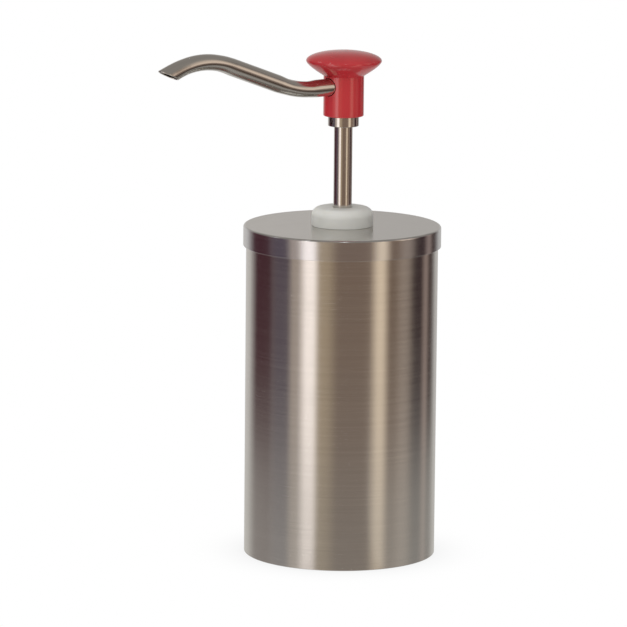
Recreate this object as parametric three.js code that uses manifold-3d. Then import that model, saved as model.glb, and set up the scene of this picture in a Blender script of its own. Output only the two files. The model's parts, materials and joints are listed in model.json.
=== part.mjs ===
// Countertop condiment pump dispenser: a brushed stainless can with a push-on lid that carries a
// spring-return piston pump, a gooseneck spout and a mushroom knob.
// Millimetres, +Z up. The origin is the centre of the can's flat underside, and the spout points along -Y.

import * as THREE from "three";
import { mergeVertices } from "three/addons/utils/BufferGeometryUtils.js";
import Module from "manifold-3d";

const wasm = await Module();
wasm.setup();

// ---- Driving dimensions -------------------------------------------------------------------------

const FIT = 0.3; // play between pieces that slip over each other
const SEATING = 0.2; // play between faces that rest on each other
const SHEET = 0.8; // stainless sheet of the can and the lid
const CHAMFER = 0.8;

const CAN = { radius: 72.75, height: 251, base: 1, baseEdge: 0.7, hem: 5 };
const LID = { radius: 75, top: 252, skirt: 15.5, corner: 1.6, hole: 15.7 };
const CYLINDER = { radius: 16, bore: 14.6, bottom: 16, top: 246.5 };
const NECK = { radius: 15, bore: 10.5, flange: 20, flangeThick: 3, height: 12.5, spigot: 6.5 };
const GASKET = { outer: 19.5, thick: 1 };
const NUT = { radius: 23.4, height: 13.8, shoulder: 6.5, web: 3.4 };
const BUSH = { flange: 13.2, flangeThick: 2.7, height: 21 };
const WIPER = { ring: 8.8, section: 1.5, aboveBush: 23 };

const STEM = { radius: 7, bore: 5.6, bottom: 112.2, top: 349.4 };
const STOP = { bottom: 229.4, radius: 11.8, height: 7.2 };
const CIRCLIP = { bottom: 228, thick: 1.1, inner: 6.5, outer: 9.3, mouth: 50 };

// Heights in the valve are counted from its own underside.
const VALVE = {
  bottom: 4,
  flange: 17.5,
  inlet: 5.5,
  chamber: 8.2,
  boss: 10.3,
  seat: 13,
  shelf: 24,
  height: 30,
};
const VALVE_SEAL = { at: 19, ring: 13.15, section: 1.2, grooveRadius: 11.9, grooveHalf: 1.4 };
const VALVE_FEET = { slotWidth: 9, slotHeight: 7 };
const CAGE_PIN = { at: 27.3, radius: 1.2, length: 19.6 };

const PISTON = { radius: 14.15, bore: 5.25, bottom: 100.3, height: 11.4 };
const PISTON_SEALS = { at: [3, 8.4], ring: 13.1, section: 1.2, grooveRadius: 11.8, grooveHalf: 1.3 };
const WASHER = { inner: 10.2, outer: 13.9, thick: 1.3 };
const BOLT = {
  bottom: 95.6,
  bore: 3.2,
  head: 9.6,
  headHeight: 4.3,
  shankTop: 16.4,
  length: 26.4,
  slot: 2.4,
  edge: 0.6,
};
const OUTLET_PIN = { at: 134.3, radius: 1, length: 13.2 };
const SPRING = { wire: 1.4, radius: 11.7, coils: 8.5, closed: 1, pitch: 1.43, bottom: 28.2, top: 98.4 };
const BALL = { inlet: 6.35, outlet: 4.5, rest: 0.15 };

const BLOCK = { radius: 11.7, bottom: 328, height: 39, seat: 21.7, edge: 0.6 };
const BLOCK_SEAL = { at: 10, ring: 8.35, section: 1.05, grooveRadius: 9.6, grooveHalf: 1.3 };
const SET_SCREW = { at: 4, radius: 1.9, hole: 2.1, length: 3.6, recess: 0.4, slot: 0.7 };
const KNOB = {
  neck: 15.3,
  neckTop: 30.6,
  rim: 28.6,
  rimAt: 41.8,
  bottom: 335.6,
  cavity: 12,
  dome: 7.7,
  domeFrom: 10, // degrees above the rim at which the dome takes over from the underside
};
const KNOB_FLARE = { out: 2.25, up: 1.6, in: 0.7, down: 3.6 }; // control points between neck and rim

// The spout leaves level, bends up, runs straight, bends over and is cut at a slant.
const SPOUT = { radius: 6.6, bore: 5.6, axis: 358.4, root: 7.3, seat: 5.3, knobHole: 7 };
const SPOUT_BENDS = {
  straight: 23.6,
  rise: 19.9,
  riseRadius: 86.7,
  run: 55,
  fall: 20.8,
  fallRadius: 70.6,
  tip: 22,
};
// Mid-point of the outlet face, its tilt, and the size of the block that cuts it.
const SPOUT_CUT = { reach: 168.7, above: 21, tilt: 24.6, block: 60 };
const SPOUT_SEAL = { ring: 5.95, section: 0.75, at: 6.3 };

// Sides of the round shapes.
const ROUND = { large: 48, medium: 24, small: 20, pin: 12, port: 24, hole: 32, spout: 16 };
const SEAL_SECTION_SIDES = 6;
const WIRE_SIDES = 6;
const BALL_SIDES = { around: 16, rings: 10 };
const STEPS = {
  spring: 72,
  spout: 24,
  circlip: 20,
  hem: 6,
  lidInside: 3,
  lidOutside: 4,
  nutShoulder: 6,
  knobFlare: 9,
  knobDome: 8,
};

// ---- Materials ----------------------------------------------------------------------------------

const finish = (color, roughness, metalness) =>
  new THREE.MeshStandardMaterial({ color, roughness, metalness });

const brushedSteel = finish(0xb9b2a9, 0.32, 1);
const polishedSteel = finish(0xc4bfb8, 0.16, 1);
const springSteel = finish(0xa8a6a2, 0.25, 1);
const redPlastic = finish(0xc4282e, 0.2, 0);
const whiteNylon = finish(0xe4e5df, 0.45, 0);
const sealRubber = finish(0x2b2b2c, 0.7, 0);
const clearSilicone = finish(0xd9d6cc, 0.5, 0);

// ---- Geometry helpers ---------------------------------------------------------------------------

const point = (x, y) => new THREE.Vector2(x, y);

// A quarter turn or less of a profile, from angle a to angle b in degrees, about (cx, cy).
function arc(cx, cy, radius, a, b, steps, radiusY = radius) {
  return Array.from({ length: steps + 1 }, (_, i) => {
    const angle = THREE.MathUtils.degToRad(a + ((b - a) * i) / steps);
    return point(cx + radius * Math.cos(angle), cy + radiusY * Math.sin(angle));
  });
}

// A body of revolution about Z, from (radius, height) pairs that start and end on the axis.
function turned(profile, segments) {
  const points = profile.map((p) => (p.isVector2 ? p : point(...p)));
  return new THREE.LatheGeometry(points, segments).rotateX(Math.PI / 2);
}

// The same for a profile that is a closed loop clear of the axis.
const turnedRing = (profile, segments) => turned([...profile, profile[0]], segments);

// A plain ring of rectangular section, its underside at height 0.
const washer = (inner, outer, height, segments) =>
  turnedRing([[inner, 0], [outer, 0], [outer, height], [inner, height]], segments);

// An O-ring lying flat, its centre at the origin.
const oRing = (ringRadius, sectionRadius) =>
  new THREE.TorusGeometry(ringRadius, sectionRadius, SEAL_SECTION_SIDES, ROUND.medium);

// A round bar along Z with its middle at the origin.
const bar = (radius, length, segments = ROUND.pin) =>
  new THREE.CylinderGeometry(radius, radius, length, segments).rotateX(Math.PI / 2);

const ball = (radius) => new THREE.SphereGeometry(radius, BALL_SIDES.around, BALL_SIDES.rings);

const alongX = (geometry) => geometry.rotateY(Math.PI / 2);
const alongY = (geometry) => geometry.rotateX(Math.PI / 2);

function solid(geometry) {
  const bare = geometry.clone();
  bare.deleteAttribute("normal");
  bare.deleteAttribute("uv");
  const merged = mergeVertices(bare, 1e-3);
  return new wasm.Manifold(
    new wasm.Mesh({
      numProp: 3,
      vertProperties: merged.attributes.position.array,
      triVerts: new Uint32Array(merged.index.array),
    }),
  );
}

function geometryOf(manifold) {
  const mesh = manifold.getMesh();
  const geometry = new THREE.BufferGeometry();
  geometry.setAttribute("position", new THREE.BufferAttribute(mesh.vertProperties, 3));
  geometry.setIndex(new THREE.BufferAttribute(mesh.triVerts, 1));
  geometry.computeVertexNormals();
  return geometry;
}

const cut = (geometry, ...tools) =>
  geometryOf(tools.reduce((whole, tool) => whole.subtract(solid(tool)), solid(geometry)));

// A named mesh whose own origin is at height z on the pump's axis.
function piece(name, geometry, material, z = 0) {
  const mesh = new THREE.Mesh(geometry, material);
  mesh.name = name;
  mesh.position.z = z;
  return mesh;
}

function assembly(...pieces) {
  const group = new THREE.Group();
  group.add(...pieces);
  return group;
}

// ---- Container ----------------------------------------------------------------------------------

// Rolled sheet wall with its top edge folded inwards into a hem, so that no raw edge shows.
function containerWall() {
  const inside = CAN.radius - SHEET;
  const hemInside = inside - SHEET;
  return turnedRing(
    [
      [inside, 0],
      [CAN.radius - CAN.baseEdge, 0],
      [CAN.radius, CAN.baseEdge],
      ...arc(inside, CAN.height - SHEET, SHEET, 0, 180, STEPS.hem),
      [hemInside, CAN.height - CAN.hem],
      [inside, CAN.height - CAN.hem],
    ],
    ROUND.large,
  );
}

function container() {
  const baseRadius = CAN.radius - SHEET - SEATING;
  const base = new THREE.CylinderGeometry(baseRadius, baseRadius, CAN.base, ROUND.large);
  base.rotateX(Math.PI / 2).translate(0, 0, CAN.base / 2);
  return assembly(
    piece("container_wall", containerWall(), brushedSteel),
    piece("container_base", base, brushedSteel),
  );
}

// ---- Lid, guide nut and the cylinder that hangs from them ----------------------------------------

// Pressed disc with a rolled shoulder and a plain skirt that slips over the can.
function lidShell() {
  const { radius, skirt, corner, hole } = LID;
  const inner = corner - SHEET;
  return turnedRing(
    [
      [hole, skirt - SHEET],
      ...arc(radius - corner, skirt - corner, inner, 90, 0, STEPS.lidInside),
      [radius - SHEET, 0],
      [radius, 0],
      ...arc(radius - corner, skirt - corner, corner, 0, 90, STEPS.lidOutside),
      [hole, skirt],
    ],
    ROUND.large,
  );
}

// Round nylon nut that clamps the lid and guides the stem: a straight side under a bun-shaped shoulder.
function guideNut() {
  const { radius, height, shoulder, web } = NUT;
  const thread = NECK.radius + FIT;
  const bore = STEM.radius + FIT;
  return turnedRing(
    [
      [thread, 0],
      [radius - CHAMFER, 0],
      [radius, CHAMFER],
      ...arc(radius - shoulder, height - shoulder, shoulder, 0, 90, STEPS.nutShoulder),
      [bore + CHAMFER, height],
      [bore, height - CHAMFER],
      [bore, height - web],
      [thread, height - web],
    ],
    ROUND.medium,
  );
}

// Turned fitting on top of the cylinder: a spigot inside the tube, a flange under the lid and a neck
// for the nut.
function cylinderHead() {
  const { radius, bore, flange, flangeThick, height, spigot } = NECK;
  const top = spigot + flangeThick + height;
  const spigotRadius = CYLINDER.bore - FIT;
  return turnedRing(
    [
      [bore, 0],
      [spigotRadius, 0],
      [spigotRadius, spigot],
      [flange, spigot],
      [flange, spigot + flangeThick],
      [radius, spigot + flangeThick],
      [radius, top - CHAMFER],
      [radius - CHAMFER, top],
      [bore, top],
    ],
    ROUND.medium,
  );
}

// Flanged nylon sleeve that the stem slides in.
function guideBush() {
  const { flange, flangeThick, height } = BUSH;
  const bore = STEM.radius + SEATING;
  const sleeve = NECK.bore - SEATING;
  return turnedRing(
    [
      [bore, 0],
      [flange, 0],
      [flange, flangeThick],
      [sleeve, flangeThick],
      [sleeve, height],
      [bore, height],
    ],
    ROUND.medium,
  );
}

function lidAndCylinder() {
  const headBottom = CYLINDER.top - NECK.spigot + SEATING;
  const flangeTop = headBottom + NECK.spigot + NECK.flangeThick;
  const bushBottom = headBottom - BUSH.flangeThick - FIT;
  const tube = washer(CYLINDER.bore, CYLINDER.radius, CYLINDER.top - CYLINDER.bottom, ROUND.medium);
  const gasket = washer(NECK.radius + 2 * SEATING, GASKET.outer, GASKET.thick, ROUND.medium);
  return assembly(
    piece("lid", lidShell(), brushedSteel, LID.top - LID.skirt),
    piece("lid_gasket", gasket, clearSilicone, flangeTop + SEATING),
    piece("guide_nut", guideNut(), whiteNylon, LID.top + SEATING),
    piece("cylinder_head", cylinderHead(), polishedSteel, headBottom),
    piece("cylinder_tube", tube, polishedSteel, CYLINDER.bottom),
    piece("guide_bush", guideBush(), whiteNylon, bushBottom),
    piece("stem_wiper_ring", oRing(WIPER.ring, WIPER.section), sealRubber, bushBottom + WIPER.aboveBush),
  );
}

// ---- Foot valve ---------------------------------------------------------------------------------

// Nylon plug in the cylinder's lower end: castellated feet, an inlet port, a ball seat and a spring boss.
function footValveBody() {
  const { flange, inlet, chamber, boss, seat, shelf, height } = VALVE;
  const { at, grooveRadius, grooveHalf } = VALVE_SEAL;
  const { slotWidth, slotHeight } = VALVE_FEET;
  const plug = CYLINDER.bore - FIT;
  const flangeTop = CYLINDER.bottom - VALVE.bottom - FIT;
  const body = turnedRing(
    [
      [inlet, 0],
      [flange - CHAMFER, 0],
      [flange, CHAMFER],
      [flange, flangeTop],
      [plug, flangeTop],
      [plug, at - grooveHalf],
      [grooveRadius, at - grooveHalf],
      [grooveRadius, at + grooveHalf],
      [plug, at + grooveHalf],
      [plug, shelf],
      [boss, shelf],
      [boss, height],
      [chamber, height],
      [chamber, seat + chamber - inlet],
      [inlet, seat],
    ],
    ROUND.medium,
  );
  const slots = [0, Math.PI / 2].map((turn) =>
    new THREE.BoxGeometry(slotWidth, 3 * flange, 2 * slotHeight).rotateZ(turn),
  );
  const pinHole = alongX(bar(CAGE_PIN.radius + SEATING, 3 * boss)).translate(0, 0, CAGE_PIN.at);
  return cut(body, ...slots, pinHole);
}

// Helix of the return spring, with closed coils at each end.
class SpringCurve extends THREE.Curve {
  getPoint(t, target = new THREE.Vector3()) {
    const { wire, radius, coils, closed, pitch, bottom, top } = SPRING;
    const open = coils - 2 * closed;
    const openPitch = (top - bottom - wire - 2 * closed * pitch) / open;
    const turn = t * coils;
    const openTurns = THREE.MathUtils.clamp(turn - closed, 0, open);
    const angle = turn * 2 * Math.PI;
    const height = wire / 2 + (turn - openTurns) * pitch + openTurns * openPitch;
    return target.set(radius * Math.cos(angle), radius * Math.sin(angle), height);
  }
}

function returnSpring() {
  const section = new THREE.Shape(arc(0, 0, SPRING.wire / 2, 0, 360 - 360 / WIRE_SIDES, WIRE_SIDES - 1));
  const extrudePath = new SpringCurve();
  return new THREE.ExtrudeGeometry(section, { steps: STEPS.spring, bevelEnabled: false, extrudePath });
}

// How far above the edge of its seat a resting ball has its centre.
const ballRise = (radius, seatRadius) => Math.sqrt(radius ** 2 - seatRadius ** 2) + BALL.rest;

function footValve() {
  const { bottom, seat, inlet } = VALVE;
  const pin = alongX(bar(CAGE_PIN.radius, CAGE_PIN.length));
  const ballAt = bottom + seat + ballRise(BALL.inlet, inlet);
  const seal = oRing(VALVE_SEAL.ring, VALVE_SEAL.section);
  return assembly(
    piece("foot_valve_body", footValveBody(), whiteNylon, bottom),
    piece("foot_valve_o_ring", seal, sealRubber, bottom + VALVE_SEAL.at),
    piece("ball_cage_pin", pin, polishedSteel, bottom + CAGE_PIN.at),
    piece("return_spring", returnSpring(), springSteel, SPRING.bottom),
    piece("inlet_ball", ball(BALL.inlet), polishedSteel, ballAt),
  );
}

// ---- Piston -------------------------------------------------------------------------------------

function pistonBody() {
  const { radius, bore, height } = PISTON;
  const { grooveRadius, grooveHalf } = PISTON_SEALS;
  const side = PISTON_SEALS.at.flatMap((at) => [
    [radius, at - grooveHalf],
    [grooveRadius, at - grooveHalf],
    [grooveRadius, at + grooveHalf],
    [radius, at + grooveHalf],
  ]);
  return turnedRing([[bore, 0], [radius, 0], ...side, [radius, height], [bore, height]], ROUND.medium);
}

function piston() {
  const names = ["piston_ring_lower", "piston_ring_upper"];
  const rings = names.map((name, i) =>
    piece(
      name,
      oRing(PISTON_SEALS.ring, PISTON_SEALS.section),
      sealRubber,
      PISTON.bottom + PISTON_SEALS.at[i],
    ),
  );
  const thrustWasher = washer(WASHER.inner, WASHER.outer, WASHER.thick, ROUND.small);
  return assembly(
    piece("piston_body", pistonBody(), whiteNylon, PISTON.bottom),
    ...rings,
    piece("thrust_washer", thrustWasher, polishedSteel, PISTON.bottom - WASHER.thick - FIT),
  );
}

// ---- Stem, spout block and what rides on them -----------------------------------------------------

// Hollow piston rod with a circlip groove near the top and a cross hole for the outlet ball's stop pin.
function stemTube() {
  const { radius, bore, bottom, top } = STEM;
  const grooveRadius = CIRCLIP.inner - SEATING;
  const grooveBottom = CIRCLIP.bottom - bottom - SEATING;
  const grooveTop = grooveBottom + CIRCLIP.thick + 2 * SEATING;
  const tube = turnedRing(
    [
      [bore, 0],
      [radius, 0],
      [radius, grooveBottom],
      [grooveRadius, grooveBottom],
      [grooveRadius, grooveTop],
      [radius, grooveTop],
      [radius, top - bottom],
      [bore, top - bottom],
    ],
    ROUND.medium,
  );
  const pinHole = alongX(bar(OUTLET_PIN.radius + SEATING, 4 * radius));
  return cut(tube, pinHole.translate(0, 0, OUTLET_PIN.at - bottom));
}

function stopCirclip() {
  const { inner, outer, thick, mouth } = CIRCLIP;
  const outline = new THREE.Shape([
    ...arc(0, 0, outer, mouth / 2, 360 - mouth / 2, STEPS.circlip),
    ...arc(0, 0, inner, 360 - mouth / 2, mouth / 2, STEPS.circlip),
  ]);
  return new THREE.ExtrudeGeometry(outline, { depth: thick, bevelEnabled: false });
}

// Hollow bolt that holds the piston on the stem. Its upper rim is the outlet ball's seat.
function outletValveBolt() {
  const { bore, head, headHeight, shankTop, length, slot, edge } = BOLT;
  const shank = PISTON.bore - SEATING;
  const thread = STEM.bore - FIT;
  const body = turnedRing(
    [
      [bore, 0],
      [head - edge, 0],
      [head, edge],
      [head, headHeight],
      [shank, headHeight],
      [shank, shankTop],
      [thread, shankTop + edge],
      [thread, length],
      [bore, length],
    ],
    ROUND.small,
  );
  return cut(body, new THREE.BoxGeometry(slot, 3 * head, slot));
}

// Steel block on top of the stem: the stem seats in it from below and the spout from the front.
function headBlock() {
  const { radius, height, seat, edge } = BLOCK;
  const { at, grooveRadius, grooveHalf } = BLOCK_SEAL;
  const stemBore = STEM.radius + SEATING;
  const port = SPOUT.axis - BLOCK.bottom;
  const body = turned(
    [
      [0, port],
      [SPOUT.bore, port],
      [SPOUT.bore, seat],
      [stemBore, seat],
      [stemBore, at + grooveHalf],
      [grooveRadius, at + grooveHalf],
      [grooveRadius, at - grooveHalf],
      [stemBore, at - grooveHalf],
      [stemBore, 0],
      [radius - edge, 0],
      [radius, edge],
      [radius, height - edge],
      [radius - edge, height],
      [0, height],
    ],
    ROUND.medium,
  );
  const forwards = (toolRadius, from, z) =>
    alongY(bar(toolRadius, 2 * radius, ROUND.port)).translate(0, -from - radius, z);
  const portBore = forwards(SPOUT.bore - SEATING, 0, port);
  const spoutSeat = forwards(SPOUT.radius + FIT, SPOUT.seat, port);
  const screwHole = forwards(SET_SCREW.hole, STEM.radius - FIT, SET_SCREW.at);
  return cut(body, portBore, spoutSeat, screwHole);
}

// Slotted grub screw that locks the block on the stem.
function stemSetScrew() {
  const { radius, length, recess, slot } = SET_SCREW;
  const face = BLOCK.radius - recess;
  const body = alongY(bar(radius, length, ROUND.small)).translate(0, length / 2 - face, 0);
  return cut(body, new THREE.BoxGeometry(slot, 2 * slot, 3 * radius).translate(0, -face, 0));
}

// The spout's centreline in the plane X = 0, as stretches that are straight or turn by an angle.
class SpoutCurve extends THREE.Curve {
  constructor(stretches) {
    super();
    this.stretches = stretches;
    this.total = stretches.reduce((sum, s) => sum + s.length, 0);
  }

  getPoint(t, target = new THREE.Vector3()) {
    let left = t * this.total;
    let reach = SPOUT.root;
    let height = 0;
    let slope = 0;
    for (const { length, turn } of this.stretches) {
      const share = Math.min(left, length);
      const change = (turn * share) / length;
      if (turn) {
        const radius = length / turn;
        reach += radius * (Math.sin(slope + change) - Math.sin(slope));
        height += radius * (Math.cos(slope) - Math.cos(slope + change));
      } else {
        reach += share * Math.cos(slope);
        height += share * Math.sin(slope);
      }
      slope += change;
      left -= share;
      if (left <= 0) break;
    }
    return target.set(0, -reach, height);
  }
}

function spoutTube() {
  const { straight, rise, riseRadius, run, fall, fallRadius, tip } = SPOUT_BENDS;
  const [up, down] = [rise, -(rise + fall)].map(THREE.MathUtils.degToRad);
  const path = new SpoutCurve([
    { length: straight, turn: 0 },
    { length: riseRadius * up, turn: up },
    { length: run, turn: 0 },
    { length: fallRadius * -down, turn: down },
    { length: tip, turn: 0 },
  ]);
  const section = new THREE.Shape().absarc(0, 0, SPOUT.radius, 0, 2 * Math.PI);
  section.holes.push(new THREE.Path().absarc(0, 0, SPOUT.bore, 0, 2 * Math.PI, true));
  const tube = new THREE.ExtrudeGeometry(section, {
    steps: STEPS.spout,
    curveSegments: ROUND.spout / 2,
    bevelEnabled: false,
    extrudePath: path,
  });
  const { reach, above, tilt, block } = SPOUT_CUT;
  const outlet = new THREE.BoxGeometry(block, block, block)
    .translate(0, 0, -block / 2)
    .rotateX(THREE.MathUtils.degToRad(-tilt))
    .translate(0, -reach, above);
  return cut(tube, outlet);
}

// Mushroom knob with a hollow neck that slips over the block, and a side hole for the spout.
function knobBody() {
  const { neck, neckTop, rim, rimAt, cavity, dome, domeFrom } = KNOB;
  const roof = BLOCK.bottom + BLOCK.height + FIT - KNOB.bottom;
  const underside = new THREE.CubicBezierCurve(
    point(neck, neckTop),
    point(neck + KNOB_FLARE.out, neckTop + KNOB_FLARE.up),
    point(rim - KNOB_FLARE.in, rimAt - KNOB_FLARE.down),
    point(rim, rimAt),
  );
  const body = turned(
    [
      [0, roof],
      [cavity, roof],
      [cavity, 0],
      [neck - CHAMFER, 0],
      [neck, CHAMFER],
      ...underside.getPoints(STEPS.knobFlare),
      ...arc(0, rimAt, rim, domeFrom, 90, STEPS.knobDome, dome),
    ],
    ROUND.medium,
  );
  const spoutHole = alongY(bar(SPOUT.knobHole, neck, ROUND.hole));
  return cut(body, spoutHole.translate(0, -neck, SPOUT.axis - KNOB.bottom));
}

function stemAndHead() {
  const stopRing = washer(STEM.radius + SEATING, STOP.radius, STOP.height, ROUND.small);
  const outletPin = alongX(bar(OUTLET_PIN.radius, OUTLET_PIN.length));
  const stemSeal = oRing(BLOCK_SEAL.ring, BLOCK_SEAL.section);
  const spoutSeal = alongY(oRing(SPOUT_SEAL.ring, SPOUT_SEAL.section)).translate(0, -SPOUT_SEAL.at, 0);
  return assembly(
    piece("stem_tube", stemTube(), polishedSteel, STEM.bottom),
    piece("stop_ring", stopRing, whiteNylon, STOP.bottom),
    piece("stop_circlip", stopCirclip(), springSteel, CIRCLIP.bottom),
    piece("outlet_valve_bolt", outletValveBolt(), polishedSteel, BOLT.bottom),
    piece("outlet_ball_pin", outletPin, polishedSteel, OUTLET_PIN.at),
    piece("head_block", headBlock(), polishedSteel, BLOCK.bottom),
    piece("stem_o_ring", stemSeal, sealRubber, BLOCK.bottom + BLOCK_SEAL.at),
    piece("stem_set_screw", stemSetScrew(), polishedSteel, BLOCK.bottom + SET_SCREW.at),
    piece("spout_o_ring", spoutSeal, sealRubber, SPOUT.axis),
    piece("spout_tube", spoutTube(), polishedSteel, SPOUT.axis),
    piece("knob", knobBody(), redPlastic, KNOB.bottom),
  );
}

// Steel ball that rests on the hollow bolt's rim inside the stem.
function outletBall() {
  const seatEdge = BOLT.bottom + BOLT.length;
  const centre = seatEdge + ballRise(BALL.outlet, BOLT.bore);
  return piece("outlet_ball", ball(BALL.outlet), polishedSteel, centre);
}

const dispenser = assembly(
  container(),
  lidAndCylinder(),
  footValve(),
  piston(),
  stemAndHead(),
  outletBall(),
);
dispenser.name = "condiment_pump_dispenser";

export default dispenser;
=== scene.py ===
import json
import logging
import math
from dataclasses import dataclass, replace
from enum import Enum
from typing import Any

import bmesh
import bpy
import numpy as np
from mathutils import Matrix, Quaternion, Vector
from numpy.typing import NDArray


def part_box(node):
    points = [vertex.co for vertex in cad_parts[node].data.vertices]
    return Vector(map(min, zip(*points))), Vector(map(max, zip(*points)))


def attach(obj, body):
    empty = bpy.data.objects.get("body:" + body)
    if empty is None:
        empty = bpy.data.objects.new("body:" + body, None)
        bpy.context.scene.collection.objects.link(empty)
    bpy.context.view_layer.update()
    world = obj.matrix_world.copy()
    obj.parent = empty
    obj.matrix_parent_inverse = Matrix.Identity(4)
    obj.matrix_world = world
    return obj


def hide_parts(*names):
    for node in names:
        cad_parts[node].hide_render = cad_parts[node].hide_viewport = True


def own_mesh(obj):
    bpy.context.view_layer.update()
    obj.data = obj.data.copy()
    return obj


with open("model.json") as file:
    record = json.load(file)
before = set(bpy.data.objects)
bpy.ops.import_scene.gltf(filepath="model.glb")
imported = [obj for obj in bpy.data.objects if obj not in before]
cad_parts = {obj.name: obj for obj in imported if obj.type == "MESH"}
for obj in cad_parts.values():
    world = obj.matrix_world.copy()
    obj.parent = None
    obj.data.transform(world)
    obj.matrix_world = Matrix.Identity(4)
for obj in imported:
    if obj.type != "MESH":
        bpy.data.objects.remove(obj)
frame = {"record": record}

# A countertop condiment pump: brushed can, pressed lid, spring-return pump, gooseneck spout and red knob.
# Shapes are worked out in millimetres and put into their meshes in metres. Heights of a turned piece are
# counted from the underside of the frame's node that it stands for.

Array = NDArray[np.float64]
Indices = NDArray[np.int64]
Colour = tuple[float, float, float]

MM = 0.001
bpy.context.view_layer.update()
LEAST_ROUND = 0.06  # the smallest rounding of a corner, in millimetres
SUPPORT = 0.25  # how far beyond an arc its extra point stands, in millimetres
SIDE_SHARE = 0.46  # the most of a side that one corner's arc may take up
BALL_REST = 0.15  # play between a resting ball and its seat, in millimetres
SHARP_ANGLE = math.radians(38)
UPWARD = 0.8  # the upright part of a normal from which a face looks up

log = logging.getLogger("condiment_pump")


# ---- Shapes ---------------------------------------------------------------------------------------


class Axis(Enum):
    """Where the height direction of a turned skin is laid."""

    SIDEWAYS = "sideways"
    FORWARD = "forward"


@dataclass(frozen=True)
class Outline:
    """A section in the half-plane of radius and height, marked 1 on rounded corners and 0 elsewhere."""

    points: Array
    worn: Array
    closed: bool


@dataclass(frozen=True)
class Surface:
    """A closed skin: points in millimetres, faces, wear marks and a lengthwise pattern."""

    points: Array
    quads: Indices
    triangles: Indices
    worn: Array
    lengthwise: Array | None = None

    def moved(self, x: float = 0.0, y: float = 0.0, z: float = 0.0) -> "Surface":
        """The same skin shifted by x, y and z millimetres."""
        return replace(self, points=self.points + np.array([x, y, z]))

    def turned_to(self, axis: Axis) -> "Surface":
        """The same skin with its own height direction laid along another axis.

        Args:
            axis: where the height direction ends up.

        Returns:
            The turned skin. Sideways maps (x, y, z) to (z, y, -x) and forward maps it to (x, -z, y).
        """
        x, y, z = self.points.T
        laid = [z, y, -x] if axis is Axis.SIDEWAYS else [x, -z, y]
        return replace(self, points=np.stack(laid, axis=1))


def rounded(corners: Any, closed: bool = True, steps: int = 6) -> Outline:
    """Rounds the corners of a section.

    Each corner becomes a true arc that touches both of its sides: the arc's centre lies on the line that
    halves the corner's angle, and the arc is the turning blend, by sines, of the two radii that meet the
    sides. A point just outside each end of the arc keeps the plain sides flat under smooth shading.

    Args:
        corners: rows of radius, height and rounding; a rounding of 0 marks a point on a smooth curve.
        closed: whether the last corner joins the first. An open section starts and ends on the axis.
        steps: arc steps per corner.

    Returns:
        The rounded section.
    """
    table = np.asarray(corners, float)
    p, rounding = table[:, :2], table[:, 2]
    before, after = np.roll(p, 1, axis=0) - p, np.roll(p, -1, axis=0) - p
    length_before, length_after = np.linalg.norm(before, axis=1), np.linalg.norm(after, axis=1)
    u, v = before / length_before[:, None], after / length_after[:, None]
    angle = np.arccos(np.clip((u * v).sum(axis=1), -1, 1))
    tangent = np.maximum(np.tan(angle / 2), 1e-6)
    reach = np.minimum(
        np.maximum(rounding, LEAST_ROUND) / tangent, SIDE_SHARE * np.minimum(length_before, length_after)
    )
    radius = reach * tangent
    middle = u + v
    middle /= np.maximum(np.linalg.norm(middle, axis=1), 1e-9)[:, None]
    centre = p + middle * (radius / np.maximum(np.sin(angle / 2), 1e-6))[:, None]
    first, last = p + u * reach[:, None] - centre, p + v * reach[:, None] - centre
    sweep = np.maximum(math.pi - angle, 1e-4)[:, None]
    share = np.linspace(0, 1, steps + 1)[None]
    weight_first = np.sin((1 - share) * sweep) / np.sin(sweep)
    weight_last = np.sin(share * sweep) / np.sin(sweep)
    arcs = (
        centre[:, None]
        + weight_first[..., None] * first[:, None]
        + weight_last[..., None] * last[:, None]
    )
    ease_before = np.minimum(SUPPORT, 0.3 * (length_before - reach))[:, None]
    ease_after = np.minimum(SUPPORT, 0.3 * (length_after - reach))[:, None]
    lead = p + u * (reach[:, None] + ease_before)
    tail = p + v * (reach[:, None] + ease_after)
    rows = np.concatenate([lead[:, None], arcs, tail[:, None]], axis=1)
    worn = np.zeros(rows.shape[:2])
    worn[:, 1:-1] = 1.0
    keep = np.ones(rows.shape[:2], bool)
    plain = rounding <= 0
    if not closed:
        plain[[0, -1]] = True
    rows[plain, 0] = p[plain]
    worn[plain] = 0.0
    keep[plain, 1:] = False
    return Outline(rows[keep], worn[keep], closed)


def plain_ring(inner: float, outer: float, height: float) -> list[list[float]]:
    """Corners of a flat ring from height 0 up, for rounding."""
    return [[inner, 0, 0.2], [outer, 0, 0.2], [outer, height, 0.2], [inner, height, 0.2]]


def level_directions(angle: Array) -> Array:
    """Level directions of length 1 at these angles, in radians."""
    return np.stack([np.cos(angle), np.sin(angle), 0 * angle], axis=1)


def ring_section(radius: float, section: float, steps: int = 20) -> Outline:
    """A round section clear of the axis: a circle of the given section radius about (radius, 0)."""
    angle = np.linspace(0, 2 * math.pi, steps, endpoint=False)
    points = np.stack([radius + section * np.cos(angle), section * np.sin(angle)], axis=1)
    return Outline(points, np.zeros(steps), True)


def ball_section(radius: float, steps: int = 40) -> Outline:
    """Half a circle about the origin, from the lowest point to the highest."""
    angle = np.linspace(-math.pi / 2, math.pi / 2, steps + 1)
    points = np.stack([radius * np.cos(angle), radius * np.sin(angle)], axis=1)
    points[[0, -1], 0] = 0.0
    return Outline(points, np.zeros(steps + 1), False)


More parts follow.
